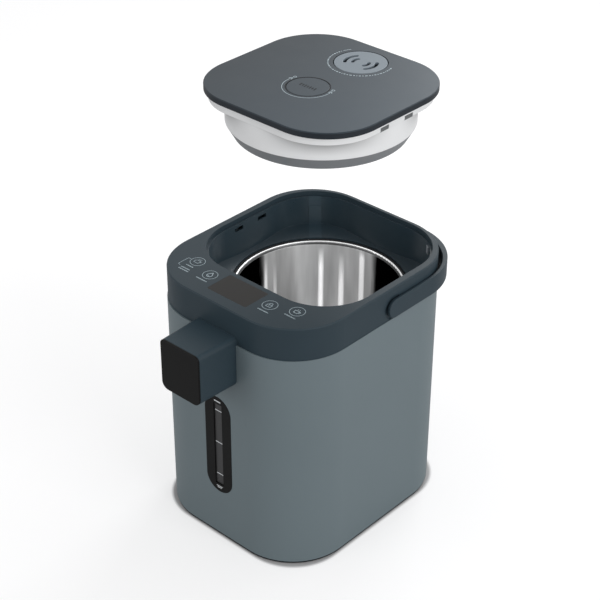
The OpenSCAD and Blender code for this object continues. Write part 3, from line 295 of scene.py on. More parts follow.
def relief(finish, strength_and_depth, height, **normal):
    """A fine relief in the surface, on the mesh's own direction or on the one given."""
    strength, depth = strength_and_depth
    sockets = {"Strength": strength, "Distance": depth, "Height": height, **normal}
    return finish.out(finish.node("ShaderNodeBump", {}, sockets))


def moulded(name, colour, rough, level=0.5, edge_highlight=0.12):
    """A moulded plastic. level is how strongly it mirrors; edge_highlight paints its edges paler."""
    finish = Finish(name)
    cloud = pigment(finish)
    speck = finish.noise(*SPECK_NOISE)
    rounded = rounded_normal(finish, MOULDED_EDGE)
    true_way = finish.true_normal()
    match = finish.node("ShaderNodeVectorMath", {"operation": "DOT_PRODUCT"}, {0: rounded, 1: true_way})
    # A painted highlight: where the rounded direction leaves the true one, the colour is made paler.
    painted_edge_highlight = ((1.0 - finish.out(match, "Value")) * EDGE_HIGHLIGHT_GAIN).held()
    base = clouded(finish, cloud, colour, PIGMENT_REACH)
    finish.set(Base_Color=finish.blend(painted_edge_highlight * edge_highlight, base, shaded(colour, EDGE_HIGHLIGHT_SHARE)))
    finish.set(Specular_IOR_Level=level)
    finish.set(Roughness=rough + swing(cloud, PIGMENT_GLOSS) + swing(speck, SPECK_GLOSS))
    finish.set(Normal=relief(finish, GRAIN_RELIEF, finish.noise(*GRAIN_NOISE), Normal=rounded))
    return finish


SLATE = linear(42, 56, 64)
LID_SLATE = linear(54, 67, 77)
LID_WHITE = linear(231, 232, 233)
finishes = {
    "slate_plastic": moulded("slate_plastic_moulding", SLATE, 0.46, level=0.26),
    "lid_slate": moulded("lid_slate_moulding", LID_SLATE, 0.42, level=0.3),
    "vent_blue": moulded("vent_cap_moulding", linear(128, 139, 148), 0.45, level=0.3),
    "white_plastic": moulded("white_moulding", LID_WHITE, 0.38, edge_highlight=0.0),
    "dark_plastic": moulded("black_moulding", linear(40, 41, 43), 0.5),
    "sensor_grey": moulded("sensor_tab_moulding", linear(134, 140, 146), 0.45),
}
# The base and foot ring are near-black: partly their own dark tone, partly painted shade along the pot's
# lower edge.
base_and_shade_finish = moulded("base_moulding", linear(14, 19, 23), 0.5, level=0.12)
latch_finish = moulded("latch_moulding", linear(96, 99, 100), 0.4)
print("moulded finishes:", len(finishes) + 2)

# %% [markdown]
# ### Painted light on tops
# Satin plastic under a wide lamp is paler on top than on its sides, and here that light is painted: the
# tops get a paler colour than their sides, and the lid's plate gets painted light that grows from its left
# to its right. The way a face looks picks between the two colours, and on the lid a slow run across its
# width picks the top's own colour first.

# %% Painted light on tops
TONE_REACH = 0.04
LID_RUN = 200 * MM
LID_SIDE_SHADE = linear(27, 34, 41)
LID_LEFT_SHADE = shaded(LID_SLATE, 0.55)
LID_RIGHT_LIGHT = shaded(LID_SLATE, 1.12)
LID_TURN_OVER = (0.5, 0.95)
SPOUT_TOP_LIGHT = shaded(SLATE, 1.28)
SPOUT_TURN_OVER = (0.6, 0.95)


def facing_up(finish):
    """1 where the surface looks straight up, 0 on its sides, -1 on its underside."""
    return finish.parts(finish.true_normal())[2]


def painted_top_light(finish, top, side, turn_over):
    """Paints light: one colour where a finish looks up and a darker one on its sides."""
    up = facing_up(finish).between(*turn_over)
    finish.set(Base_Color=finish.blend((up + swing(pigment(finish), TONE_REACH)).held(), side, top))


def painted_light_across(finish, width, left, right):
    """A painted gradient of light that goes from one colour to another across the pot's width."""
    across = finish.parts(finish.place())[0]
    return finish.blend(across.between(-width / 2, width / 2), left, right)


lid_finish = finishes["lid_slate"]
painted_top_light(lid_finish, painted_light_across(lid_finish, LID_RUN, LID_LEFT_SHADE, LID_RIGHT_LIGHT), LID_SIDE_SHADE, LID_TURN_OVER)
spout_finish = moulded("spout_moulding", SLATE, 0.46, level=0.26)
painted_top_light(spout_finish, SPOUT_TOP_LIGHT, SLATE, SPOUT_TURN_OVER)
print("paler tops: lid plate and spout")

# %% [markdown]
# ### The liner's rib
# The well's liner has one low upright rib that catches more light than the wall round it. The rib is only a
# step in the wall, too low to light up by itself, so a painted highlight makes the finish paler there.
# Pot, lid and well share one upright axis, and the rib's place is told by the way round it.

# %% Liner finish
lid_body_low, lid_body_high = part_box("lid_body")
POT_AXIS_Y = (lid_body_low.y + lid_body_high.y) / 2
RIB_WAY = math.radians(134.3)
RIB_HALF = 7 * MM
RIB_EDGE = 0.3 * MM
RIB_SIDE = 10 * MM
RIB_CLOUD = 0.08
LINER_SLATE = shaded(SLATE, 1.14)
RIB_HIGHLIGHT_SLATE = shaded(LINER_SLATE, 1.32)


def from_axis(finish):
    """X and Y from the pot's own axis, and Z."""
    x, y, z = finish.parts(finish.place())
    return x, y - POT_AXIS_Y, z


def turned(x, y, way):
    """How far a place lies along a way round the pot, and how far aside of it."""
    along = x * math.cos(way) + y * math.sin(way)
    aside = y * math.cos(way) - x * math.sin(way)
    return along, aside


liner_finish = moulded("liner_moulding", SLATE, 0.3, level=0.4)
x, y, _ = from_axis(liner_finish)
along, aside = turned(x, y, RIB_WAY)
past_rib = (aside ** 2.0).between((RIB_HALF - RIB_EDGE) ** 2, RIB_HALF ** 2)
on_rib = along.between(0.0, RIB_SIDE) * (1.0 - past_rib)
# Painted highlight on the rib.
rib_highlight_share = (on_rib + swing(pigment(liner_finish), RIB_CLOUD)).held()
liner_finish.set(Base_Color=liner_finish.blend(rib_highlight_share, LINER_SLATE, RIB_HIGHLIGHT_SLATE))
print("the pot's axis is at y =", round(POT_AXIS_Y / MM, 1), "mm")

# %% [markdown]
# ### Shade under the lid's skirt
# The lid's white body steps in below its skirt and lies in the skirt's shade, most at the four
# corners, where the skirt reaches out farthest. The room's even light alone leaves that shade too
# weak, so part of it is in the colour. Faces that look down are darker too.

# %% Lid body finish
SKIRT_HIGH = 8.6 * MM
SHADE_REACH = 20 * MM
SHADE_END = 0.1 * MM
SHADE_BEND = 1.2
SHADE_CLOUD = 0.03
DEEP_SHADE = 0.2
LOOKS_DOWN = (-0.9, -0.3)
DOWN_SHADE = 0.7
skirt_low = lid_body_high.z - SKIRT_HIGH

skirt_finish = moulded("lid_body_moulding", LID_WHITE, 0.38, edge_highlight=0.0)
x, y, z = from_axis(skirt_finish)
corner = ((x * y) * 2.0 / (x ** 2.0 + y ** 2.0)) ** 2.0
on_skirt = z.between(skirt_low - SHADE_END, skirt_low + SHADE_END)
shade = z.between(skirt_low - SHADE_REACH, skirt_low) ** SHADE_BEND * corner * (1.0 - on_skirt)
below = 1.0 - facing_up(skirt_finish).between(*LOOKS_DOWN)
dark = (shade + below * DOWN_SHADE + swing(pigment(skirt_finish), SHADE_CLOUD)).held()
skirt_finish.set(Base_Color=skirt_finish.blend(dark, LID_WHITE, shaded(LID_WHITE, DEEP_SHADE)))
print("the lid's skirt begins at", round(skirt_low / MM, 1), "mm")

# %% [markdown]
# ## Satin paint
# The tall shell is sheet steel with a satin blue-grey powder paint. Powder paint has a soft orange
# peel: a bump that is wide and very shallow. It is made with a larger noise than the plastic's
# grain, and a thin clear coat gives the paint its own, smoother gloss on top.

# %% Satin paint
PAINT_EDGE = 0.4 * MM
PAINT_NOISE = (9.0, 2.0)
PAINT_REACH = 0.035
PEEL_NOISE = (420.0, 2.0)
PEEL_RELIEF = (0.25, 0.05 * MM)
PEEL_GLOSS = 0.06
GRIT_NOISE = (3200.0, 1.0)
GRIT_SHARE = 0.3


def painted(name, colour, rough):
    finish = Finish(name)
    peel = finish.noise(*PEEL_NOISE)
    skin = peel + finish.noise(*GRIT_NOISE) * GRIT_SHARE
    finish.set(Base_Color=clouded(finish, finish.noise(*PAINT_NOISE), colour, PAINT_REACH))
    finish.set(Roughness=rough + swing(peel, PEEL_GLOSS), Specular_IOR_Level=0.45)
    finish.set(Normal=relief(finish, PEEL_RELIEF, skin, Normal=rounded_normal(finish, PAINT_EDGE)))
    finish.set(Coat_Weight=0.12, Coat_Roughness=0.35)
    return finish


finishes["shell_paint"] = painted("shell_satin_paint", linear(103, 116, 121), 0.5)
print("painted finish:", finishes["shell_paint"].material.name)

# %% [markdown]
# ## Gloss black
# The spout's face, the display and the level window are black acrylic. Such a panel is really one
# thing: a near-black sheet whose only light is what it mirrors, softened by fine hairline wear.

# %% Gloss black
ACRYLIC_EDGE = 0.4 * MM
ACRYLIC_NOISE = (12.0, 2.0)
ACRYLIC_REACH = 0.1
HAIR_NOISE = (160.0, 4.0, (1.0, 6.0, 1.0))
HAIR_RELIEF = (0.1, 0.01 * MM)
HAIR_GLOSS = 0.05


def acrylic(name, colour, rough, level):
    finish = Finish(name)
    hair = finish.noise(*HAIR_NOISE)
    finish.set(Base_Color=clouded(finish, finish.noise(*ACRYLIC_NOISE), colour, ACRYLIC_REACH))
    finish.set(Roughness=rough + swing(hair, HAIR_GLOSS), Specular_IOR_Level=level)
    finish.set(Normal=relief(finish, HAIR_RELIEF, hair, Normal=rounded_normal(finish, ACRYLIC_EDGE)))
    return finish


finishes["black_gloss"] = acrylic("black_acrylic", linear(18, 18, 18), 0.34, 0.12)
display_finish = acrylic("display_smoke", linear(60, 59, 58), 0.42, 0.08)
print("acrylic finishes: 2")

# %% [markdown]
# ## Rubber and silicone
# Soft parts scatter light: silicone lets a little through, rubber almost none. Both have a dry,
# broad gloss and a faint cloudiness from the mould release.

# %% Rubber and silicone
BLOOM_NOISE = (60.0, 3.0)
BLOOM_REACH = 0.07
DUST_NOISE = (700.0, 2.0)
DUST_RELIEF = (0.2, 0.03 * MM)
DUST_GLOSS = 0.1
LIGHT_REACH = 2 * MM


def rubbery(name, colour, rough, through=0.0):
    """A soft part. through is the share of light that goes into it."""
    finish = Finish(name)
    dust = finish.noise(*DUST_NOISE)
    finish.set(Base_Color=clouded(finish, finish.noise(*BLOOM_NOISE), colour, BLOOM_REACH))
    finish.set(Roughness=rough + swing(dust, DUST_GLOSS), Specular_IOR_Level=0.4)
    finish.set(Normal=relief(finish, DUST_RELIEF, dust))
    if through:
        finish.set(Subsurface_Weight=through, Subsurface_Scale=LIGHT_REACH)
    return finish


finishes["seal_silicone"] = rubbery("seal_silicone_grey", linear(128, 131, 134), 0.5)
finishes["black_rubber"] = rubbery("black_rubber_skin", linear(34, 35, 37), 0.6)
finishes["clear_silicone"] = rubbery("milky_silicone", linear(205, 209, 212), 0.4, 0.3)
finishes["felt"] = rubbery("grey_felt", linear(150, 150, 146), 0.95)
print("soft finishes: 4")

# %% [markdown]
# ## Steel
# The pot is deep-drawn stainless steel, and the drawing and polishing leave tracks that run up and down, in
# its gloss and in a fine relief. What it mirrors is painted into its colour, as in any polished tube that
# stands in a dark well: upright painted streaks, two broad zones that face each other painted bright and
# two painted nearly black, and a few narrow painted glints in the bright zones, each beginning some way
# below the edge. All of it depends on the way round the pot's axis, and the edge is told by the distance
# from it: the wall ends in a flare painted dark, and the flare in a rolled bead painted bright, a painted
# highlight. The plain air of this scene has little for steel to mirror, so part of this painted reflection
# is also given as a faint glow.

# %% Pot steel
POT_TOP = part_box("inner_pot")[1].z - 0.9 * MM
POT_WALL_R = 89.05 * MM
FLARE_RUN = 0.2 * MM
BEAD_FROM = 1.35 * MM
BEAD_RUN = 0.4 * MM
BRIGHT_WAY = math.radians(132.4)
BRIGHT_ZONE = (0.46, 0.58)
GLINTS = ((-2, 2.3, 14), (-17, 2.3, 26), (-33, 2.2, 6), (33, 1.6, 40), (41.5, 1.6, 20))
STEEL_DARK = linear(4, 4, 4)
STEEL_LIGHT = linear(252, 253, 254)
BROAD_NOISE = (24.0, 2.0, (1.0, 1.0, 0.25))
NARROW_NOISE = (70.0, 3.0, (1.0, 1.0, 0.12))
TRACK_NOISE = (900.0, 2.0, (1.0, 1.0, 0.01))
TRACK_RELIEF = (0.1, 0.02 * MM)
TRACK_GLOSS = 0.06
CLOUDY_FROM = 0.34
CLOUDY_GAIN = 2.6
WALL_REFLECTION_SHARES = (0.36, 0.33, 0.62)
FLARE_SHARE = 0.12
REFLECTION_GLOW_BEND = 1.8
REFLECTION_GLOW = 0.56


def glint(aside, down, turn, width, start):
    """A narrow upright painted glint: its way round and width in degrees, its start in mm below the edge.
    """
    off = (aside - math.sin(math.radians(turn))) ** 2.0 * (1 / math.radians(width) ** 2)
    return (1.0 - off).held() * down.between(start * 0.4 * MM, start * 2.2 * MM)


def steel_painted_reflections(name):
    finish = Finish(name)
    x, y, z = from_axis(finish)
    out = (x ** 2.0 + y ** 2.0) ** 0.5
    facing, aside = (side / out for side in turned(x, y, BRIGHT_WAY))
    down = POT_TOP - z
    narrow = finish.noise(*NARROW_NOISE)
    track = finish.noise(*TRACK_NOISE)
    # Painted reflections: bright and nearly black zones, upright streaks and glints round the wall.
    zone = (facing ** 2.0 + swing(narrow, 0.2)).between(*BRIGHT_ZONE)
    painted_streaks = ((finish.noise(*BROAD_NOISE) * 0.6 + narrow * 0.4 - CLOUDY_FROM) * CLOUDY_GAIN).held()
    glints = sum(glint(aside, down, *place) for place in GLINTS)
    plain, clouds, bright = WALL_REFLECTION_SHARES
    wall = zone * (plain + painted_streaks * clouds + glints * bright)
    # A flare painted dark, then a rolled bead painted bright as a highlight.
    flare = out.between(POT_WALL_R, POT_WALL_R + FLARE_RUN)
    bead = out.between(POT_WALL_R + BEAD_FROM, POT_WALL_R + BEAD_FROM + BEAD_RUN)
    share = (wall * (1.0 - flare) + flare * FLARE_SHARE + bead).held()
    finish.set(Base_Color=finish.blend(share, STEEL_DARK, STEEL_LIGHT), Metallic=1.0)
    finish.set(Roughness=0.42 + swing(track, TRACK_GLOSS))
    finish.set(Normal=relief(finish, TRACK_RELIEF, track + narrow))
    finish.set(Anisotropic=0.9, Anisotropic_Rotation=0.25, Specular_IOR_Level=0.0, Specular_Tint=BLACK)
    # A faint glow paints part of the mirrored light.
    finish.set(Emission_Color=finish.blend(share ** REFLECTION_GLOW_BEND, BLACK, WHITE), Emission_Strength=REFLECTION_GLOW)
    return finish


finishes["pot_steel"] = steel_painted_reflections("drawn_steel")
print("pot steel with", len(GLINTS), "glints, from z", round(POT_TOP / MM, 1), "mm down")

# %% [markdown]
# ### Plain metal
# Screws, rods, the motor and the heater are brushed. Their lines are a noise that is squeezed along
# the pot's height, and it breaks up both the gloss and the surface.

# %% Plain metal
BRUSH_NOISE = (500.0, 3.0, (1.0, 1.0, 12.0))
BRUSH_RELIEF = (0.15, 0.02 * MM)
BRUSH_GLOSS = 0.12
METAL_NOISE = (30.0, 2.0)


def brushed(name, colour, rough):
    finish = Finish(name)
    line = finish.noise(*BRUSH_NOISE)
    metal = finish.blend(finish.noise(*METAL_NOISE), shaded(colour, 0.9), shaded(colour, 1.08))
    finish.set(Base_Color=metal, Metallic=1.0)
    finish.set(Roughness=rough + swing(line, BRUSH_GLOSS), Normal=relief(finish, BRUSH_RELIEF, line))
    return finish


finishes["plain_steel"] = brushed("plain_steel_brushed", linear(176, 178, 181), 0.32)
finishes["heater_aluminium"] = brushed("heater_cast_aluminium", linear(188, 190, 192), 0.5)
print("brushed finishes: 2")

# %% [markdown]
# ## Circuit board, level strip and ink
# The boards behind the deck and under the pot are green glass-fibre with a faint weave. Nobody sees
# them on a closed pot, but a viewer who takes the part to pieces does. The level tube and its lens
# are clear on the real pot, but a grey strip lies close behind them, and that grey is all one sees.
# It is a flat tone, as the two inks are, with no more than a slow noise in colour and in gloss.

# %% Circuit board, level strip and ink
WEAVE_SCALE = 400.0
BOARD_DARK = linear(22, 84, 52)
BOARD_PALE = linear(30, 100, 62)


def woven_board(name):
    finish = Finish(name)
    bands = {"wave_type": "BANDS", "bands_direction": "DIAGONAL"}
    weave = finish.node("ShaderNodeTexWave", bands, {"Vector": finish.place(), "Scale": WEAVE_SCALE})
    finish.set(Base_Color=finish.blend(finish.out(weave, "Fac"), BOARD_DARK, BOARD_PALE))
    finish.set(Roughness=0.35 + finish.noise(40.0) * 0.1)
    return finish


def flat_tone(name, low, high, mottle, rough, rougher, speckle):
    """A tone between two near colours. mottle and speckle are the scales of its two noises."""
    finish = Finish(name)
    finish.set(Base_Color=finish.blend(finish.noise(mottle), low, high))
    finish.set(Roughness=rough + finish.noise(speckle) * rougher)
    return finish


def ink(name, low, high):
    return flat_tone(name, low, high, mottle=1500.0, rough=0.5, rougher=0.1, speckle=900.0)


STRIP = (linear(50, 50, 51), linear(57, 57, 58))
strip_finish = flat_tone("strip_grey", *STRIP, mottle=50.0, rough=0.3, rougher=0.08, speckle=300.0)
finishes["board_green"] = woven_board("board_green_weave")
finishes["clear_plastic"] = strip_finish
ink_pale = ink("deck_ink", linear(168, 186, 194), linear(196, 211, 218))
ink_white = ink("white_ink", linear(205, 210, 213), linear(228, 231, 233))
print("finishes by slot:", len(finishes))

# %% [markdown]
# ## Dress the CAD pieces
# Each CAD piece brings a slot that says what it is made of. Its shape is right as it is, so it only gets
# the finish that belongs to the slot. A few pieces look different from the rest of their slot, such as the
# display under its smoked film, and have a finish of their own, some of them with painted light or shade.

# %% Dress the CAD pieces
slot_of = {name: piece.material_slots[0].material.name.split(".")[0] for name, piece in nodes.items()}
OWN_FINISH = {
    "display_window": display_finish,
    "base_pan": base_and_shade_finish,
    "foot_ring": base_and_shade_finish,
    "well_liner": liner_finish,
    "lid_body": skirt_finish,
    "spout_housing": spout_finish,
    "latch_right": latch_finish,
    "latch_left": latch_finish,
}
for name, piece in nodes.items():
    for slot in piece.material_slots:
        slot.material = OWN_FINISH.get(name, finishes[slot_of[name]]).material
slots_used = list(slot_of.values())
print("dressed:", {slot: slots_used.count(slot) for slot in sorted(set(slots_used))})

# %% [markdown]
# ## Soft edges in the mesh
# Moulded edges have a real radius, and at the silhouette only the mesh can show it. A copy of the
# CAD piece is cleaned: doubled corners are merged and flat faces become one face again. A Bevel
# modifier then rounds what is still a sharp edge, and Weighted Normal keeps the flats flat.

# %% Soft edges
WELD = 0.002 * MM
FLAT = math.radians(0.6)
SHARP = math.radians(32)
EDGE_STEPS = 3
SOFT_EDGES = {
    "spout_housing": (1.0 * MM, "root"),
    "spout_face": (0.6 * MM, "root"),
    "handle": (0.9 * MM, "handle"),
    "lid_button": (0.5 * MM, "button"),
    "vent_cap": (0.6 * MM, "vent"),
    "gauge_frame": (0.5 * MM, "root"),
}


def new_piece(name, work, material):
    """Turns a worked mesh into a piece of the scene."""
    shape = bpy.data.meshes.new(name)
    work.to_mesh(shape)
    work.free()
    shape.materials.append(material)
    piece = bpy.data.objects.new(name, shape)
    bpy.context.scene.collection.objects.link(piece)
    return piece


def softened(node, radius, body):
    """A stand-in for a CAD piece, with its sharp edges rounded."""
    source = nodes[node]
    work = bmesh.new()
    work.from_mesh(source.data)
    bmesh.ops.remove_doubles(work, verts=work.verts, dist=WELD)
    bmesh.ops.dissolve_limit(work, angle_limit=FLAT, verts=work.verts, edges=work.edges)
    piece = new_piece(node + "_soft", work, source.material_slots[0].material)
    piece.data.shade_smooth()
    bevel = piece.modifiers.new("edge", "BEVEL")
    bevel.width = radius
    bevel.segments = EDGE_STEPS
    bevel.limit_method = "ANGLE"
    bevel.angle_limit = SHARP
    bevel.use_clamp_overlap = True
    bevel.harden_normals = False
    normal = piece.modifiers.new("flats", "WEIGHTED_NORMAL")
    normal.keep_sharp = True
    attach(piece, body)
    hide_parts(node)
    return piece


for name, (radius, body) in SOFT_EDGES.items():
    made = softened(name, radius, body)
    print("softened", name, len(made.data.polygons), "faces")

# %% [markdown]
# ## Prints
# The icons on the deck, the arrow round the button, the marks round the vent and the ticks beside
# the level strip are ink, a few hundredths of a millimetre thick. Each is a thin flat band that
# follows a line. One helper makes the band as a closed solid, in the plane of what it is printed on.
# Lines are given in millimetres, and a corner's mitre is held short where a line turns sharply.

# %% Prints
INK_RISE = 0.05 * MM
INK_SINK = 0.03 * MM
SHORTEST_MITRE = 0.5


def skinned(work, rows, closed=False):
    """Faces from row to row of four corners each, and a cap on each open end."""
    following = rows[1:] + rows[:1] if closed else rows[1:]
    for one, two in zip(rows, following):
        for near, far in ((0, 1), (1, 2), (2, 3), (3, 0)):
            work.faces.new((one[near], one[far], two[far], two[near]))
    if not closed:
        work.faces.new(rows[0][::-1])
        work.faces.new(rows[-1])


def ribbon(work, points, width, plane, closed):
    """Adds a flat band of ink along points, which are in the plane's own X and Y."""
    up = Vector((0, 0, INK_RISE))
    down = Vector((0, 0, -INK_SINK))
    flat = [Vector((x, y, 0)) * MM for x, y in points]
    rows = []
    for number, here in enumerate(flat):
        ways = []
        if closed or number < len(flat) - 1:
            ways.append((flat[(number + 1) % len(flat)] - here).normalized())
        if closed or number > 0:
            ways.append((here - flat[number - 1]).normalized())
        way = sum(ways, Vector()).normalized()
        side = Vector((-way.y, way.x, 0))
        square = Vector((-ways[0].y, ways[0].x, 0))
        step = side * (width * MM / 2 / max(SHORTEST_MITRE, side.dot(square)))
        corners = (here + step + up, here - step + up, here - step + down, here + step + down)
        rows.append([work.verts.new(plane @ corner) for corner in corners])
    skinned(work, rows, closed)


def arc(centre, radius, start, stop, steps):
    """Points on an arc, in degrees, anticlockwise seen from above."""
    x, y = centre
    turns = [math.radians(start + (stop - start) * step / steps) for step in range(steps + 1)]
    return [(x + radius * math.cos(turn), y + radius * math.sin(turn)) for turn in turns]


def circle(centre, radius, steps=48):
    return arc(centre, radius, 0, 360, steps)[:-1]


def printed(name, lines, plane, body, finish):
    """One piece of print from a list of (points, width, closed), in mm."""
    work = bmesh.new()
    for points, width, closed in lines:
        ribbon(work, points, width, plane, closed)
    bmesh.ops.recalc_face_normals(work, faces=work.faces)
    piece = new_piece(name, work, finish.material)
    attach(piece, body)
    print("printed", name, len(lines), "lines")


print("ink stands", round(INK_RISE / MM, 2), "mm proud of what it is printed on")

# %% [markdown]
# ### The deck's icons
# Four touch keys sit on the deck, each a thin ring with a small picture in it. The pictures are the
# plain ones that any such pot could have: a kettle, a drop, a padlock and a cup. Each is drawn in
# millimetres about its ring's centre, as lines of one width, with the vessels a little bolder and
# the steam a little finer.

# %% Deck icons
deck_plane = Matrix.Translation((0, 0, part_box("top_collar")[1].z))
RING_R = 8.0
FINE = 0.45
BOLD = FINE * 1.2
WISP = FINE * 0.8


def about(centre, *points):
    """Points about a centre."""
    return [(centre[0] + x, centre[1] + y) for x, y in points]


def wisps(centre, places, low, lean, high):
    """Bent wisps of steam over a vessel."""
    bends = [((x, low), (x + lean, (low + high) / 2), (x, high)) for x in places]
    return [(about(centre, *bend), WISP, False) for bend in bends]


def kettle(centre):
    body = ((-3.4, -2.6), (2.4, -2.6), (3.0, 0.6), (1.4, 2.2), (-2.4, 2.2), (-4.0, 0.6))
    spout = ((2.8, -0.6), (4.6, 1.4))
    steam = wisps(centre, (-1.8, -0.2, 1.4), 3.2, 0.5, 4.8)
    return [(about(centre, *body), FINE, True), (about(centre, *spout), FINE, False), *steam]


def drop(centre):
    edge = [(0, 4.6), *arc((0, -1.0), 2.9, 140, 400, steps=13)]
    shine = arc((0, -1.0), 1.6, 200, 300, steps=5)
    return [(about(centre, *edge), FINE * 1.5, True), (about(centre, *shine), FINE, False)]


def padlock(centre):
    case = ((-2.9, -3.4), (2.9, -3.4), (2.9, 0.4), (-2.9, 0.4))
    bow = [(1.9, 0.5), *arc((0, 1.6), 1.9, 0, 180, steps=9), (-1.9, 0.5)]
    keyhole = ((0, -0.8), (0, -2.2))
    open_lines = [(about(centre, *line), FINE, False) for line in (bow, keyhole)]
    return [(about(centre, *case), BOLD, True), *open_lines]


def cup(centre):
    body = ((-3.2, 1.0), (-2.5, -3.2), (1.9, -3.2), (2.6, 1.0))
    ear = ((2.6, 0.4), (4.2, 0.2), (4.0, -1.7), (2.3, -1.9))
    steam = wisps(centre, (-1.6, 0.6), 2.0, 0.6, 4.0)
    return [(about(centre, *body), BOLD, True), (about(centre, *ear), FINE, False), *steam]


ICONS = {
    "kettle": (kettle, (-70, -86)),
    "drop": (drop, (-42, -95.7)),
    "padlock": (padlock, (42, -95.7)),
    "cup": (cup, (70, -86)),
}
for icon, (draw, centre) in ICONS.items():
    ring = (circle(centre, RING_R), FINE, True)
    printed("key_" + icon, [ring, *draw(centre)], deck_plane, "root", ink_pale)

# %% [markdown]
# ### Rows of dashes on the deck
# In front of each key lie rows of short dashes, as high as a line of small print. The dashes differ
# in length in a set order, so that a row looks lively and not like a comb. The kettle's key also
# has a thin bracket that ties its rows to the ring.

# %% Rows of dashes on the deck
DASH_HIGH = 1.3
DASH_LONG = 0.9
DASH_GAP = 0.55
DASH_SHARES = (1.0, 0.6, 1.4, 0.8)
DASH_ROWS = {
    "kettle": [(-74.8, -97.6, 9.6), (-76.2, -103.6, 12.0), (-76.6, -107.0, 14.0)],
    "drop": [(-49.8, -107.8, 14.4)],
    "padlock": [(36.8, -107.8, 14.0)],
    "cup": [(63.4, -97.4, 14.0)],
}
BRACKET = [(-79.0, -86.6), (-82.5, -86.9), (-82.5, -101.6), (-79.0, -102.6)]


def small_row(x, y, run):
    """A row of dashes that starts at x, y and is run long."""
    lines = []
    here = x
    while here < x + run:
        long = min(DASH_LONG * DASH_SHARES[len(lines) % len(DASH_SHARES)], x + run - here)
        lines.append(([(here, y), (here + long, y)], DASH_HIGH, False))
        here += long + DASH_GAP
    return lines


for icon, rows in DASH_ROWS.items():
    lines = [line for row in rows for line in small_row(*row)]
    if icon == "kettle":
        lines.append((BRACKET, FINE * 0.9, False))
    printed("caption_" + icon, lines, deck_plane, "root", ink_pale)

# %% [markdown]
# ### Arrow on the lid
# A thin arc with an arrow at each end runs round the front of the button, and says that it turns.
# A small ring stands past each arrow. All of it rides on the lid.

# %% Turn arrow
lid_plane = Matrix.Translation((0, 0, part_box("lid_plate")[1].z))
ARROW_R = 25.8
ARROW_FROM = 173
ARROW_TO = 371
ARROW_NOSE = 2.4
ARROW_HEEL = (1.2, 2.0)
MARK_AWAY = 5.4
MARK_R = 1.5
SWEEP_WIDE = 0.55
HEAD_WIDE = 0.8
MARK_WIDE = 0.6


def middle(name):
    """The middle of a round piece on the pot's centre line, in mm."""
    low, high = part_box(name)
    return (0.0, (low.y + high.y) / 2 / MM)


def arrow_end(centre, angle, way):
    """An arrow head and a small ring at one end of the arc."""
    turn = math.radians(angle)
    out = Vector((math.cos(turn), math.sin(turn)))
    along = Vector((-out.y, out.x)) * way
    tip = Vector(centre) + out * ARROW_R
    nose = tuple(tip + along * ARROW_NOSE)
    back, wide = ARROW_HEEL
    heels = [tuple(tip - along * back + out * side * wide) for side in (1, -1)]
    mark = tuple(tip + along * MARK_AWAY)
    head = [([heel, nose], HEAD_WIDE, False) for heel in heels]
    return [*head, (circle(mark, MARK_R, steps=16), MARK_WIDE, True)]


BUTTON = middle("lid_button")
sweep = (arc(BUTTON, ARROW_R, ARROW_FROM, ARROW_TO, steps=72), SWEEP_WIDE, False)
ends = arrow_end(BUTTON, ARROW_FROM, -1) + arrow_end(BUTTON, ARROW_TO, 1)
printed("turn_arrow", [sweep, *ends], lid_plane, "lid", ink_pale)

# %% [markdown]
# ### Dashes round the vent
# A row of fine dashes follows the vent cap's edge on the side of the button, and a thin line leads
# up to them. They are printed on the lid, so they stay where they are when the cap turns.

# %% Dashes round the vent
VENT = middle("vent_cap")
VENT_PRINT_R = 33.4
VENT_PRINT = (166, 374)
VENT_DASHES = (1.6, 3.4, 2.2, 4.4, 2.8)
VENT_GAP = 2.6
VENT_DASH_HIGH = 1.3
VENT_LEADER = (148, 163)
LEADER_WIDE = 0.6

lines = []
angle = VENT_PRINT[0]
while angle < VENT_PRINT[1]:
    run = VENT_DASHES[len(lines) % len(VENT_DASHES)]
    lines.append((arc(VENT, VENT_PRINT_R, angle, angle + run, steps=4), VENT_DASH_HIGH, False))
    angle += run + VENT_GAP
lines.append((arc(VENT, VENT_PRINT_R, *VENT_LEADER, steps=8), LEADER_WIDE, False))
printed("vent_small_print", lines, lid_plane, "lid", ink_pale)

# %% [markdown]
# ### Ribs on the button
# A row of plain short ribs in a darker tone marks where the thumb presses. The gap round the button is
# narrow and the studio's even light gets into it, so a thin dark line of painted shade is laid on the plate
# at its edge.

# %% Button ribs
button_plane = Matrix.Translation((0, 0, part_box("lid_button")[1].z))
RIB_STEP = 3.1
RIB_WIDE = 1.5
RIB_LEAN = 0.4
RIB_REACHES = (2.0, 2.6)
GAP_SHADE_R = 22.3
GAP_SHADE_WIDE = 1.1

rib_finish = moulded("button_rib_moulding", linear(24, 29, 34), 0.5, level=0.15)
lines = []
for step in range(-3, 4):
    reach = RIB_REACHES[step % 2]
    ends = ((step * RIB_STEP + RIB_LEAN, -reach), (step * RIB_STEP - RIB_LEAN, reach))
    lines.append((about(BUTTON, *ends), RIB_WIDE, False))
printed("button_ribs", lines, button_plane, "button", rib_finish)
# The gap's painted shade is laid in the ribs' dark tone.
gap_shade = [(circle(BUTTON, GAP_SHADE_R, steps=96), GAP_SHADE_WIDE, True)]
printed("button_gap_shade", gap_shade, lid_plane, "lid", rib_finish)

# %% [markdown]
# ### The level window's marks
# Behind the slit of the window stands a grey strip with three white ticks, and above and below it
# are small marks for the highest and the lowest level, printed on the frame's own front face.

# %% Window marks
TURN_TO_FRONT = Matrix(((1, 0, 0), (0, 0, -1), (0, 1, 0))).to_4x4()
TICK_HALF = 5.0
TICK_WIDE = 1.0
TICK_HEIGHTS = (167.8, 126.4, 84.4)
MARKS = ((180.6, 4.6, 1.5), (68.6, 4.2, 0.9), (66.8, 3.0, 0.8))


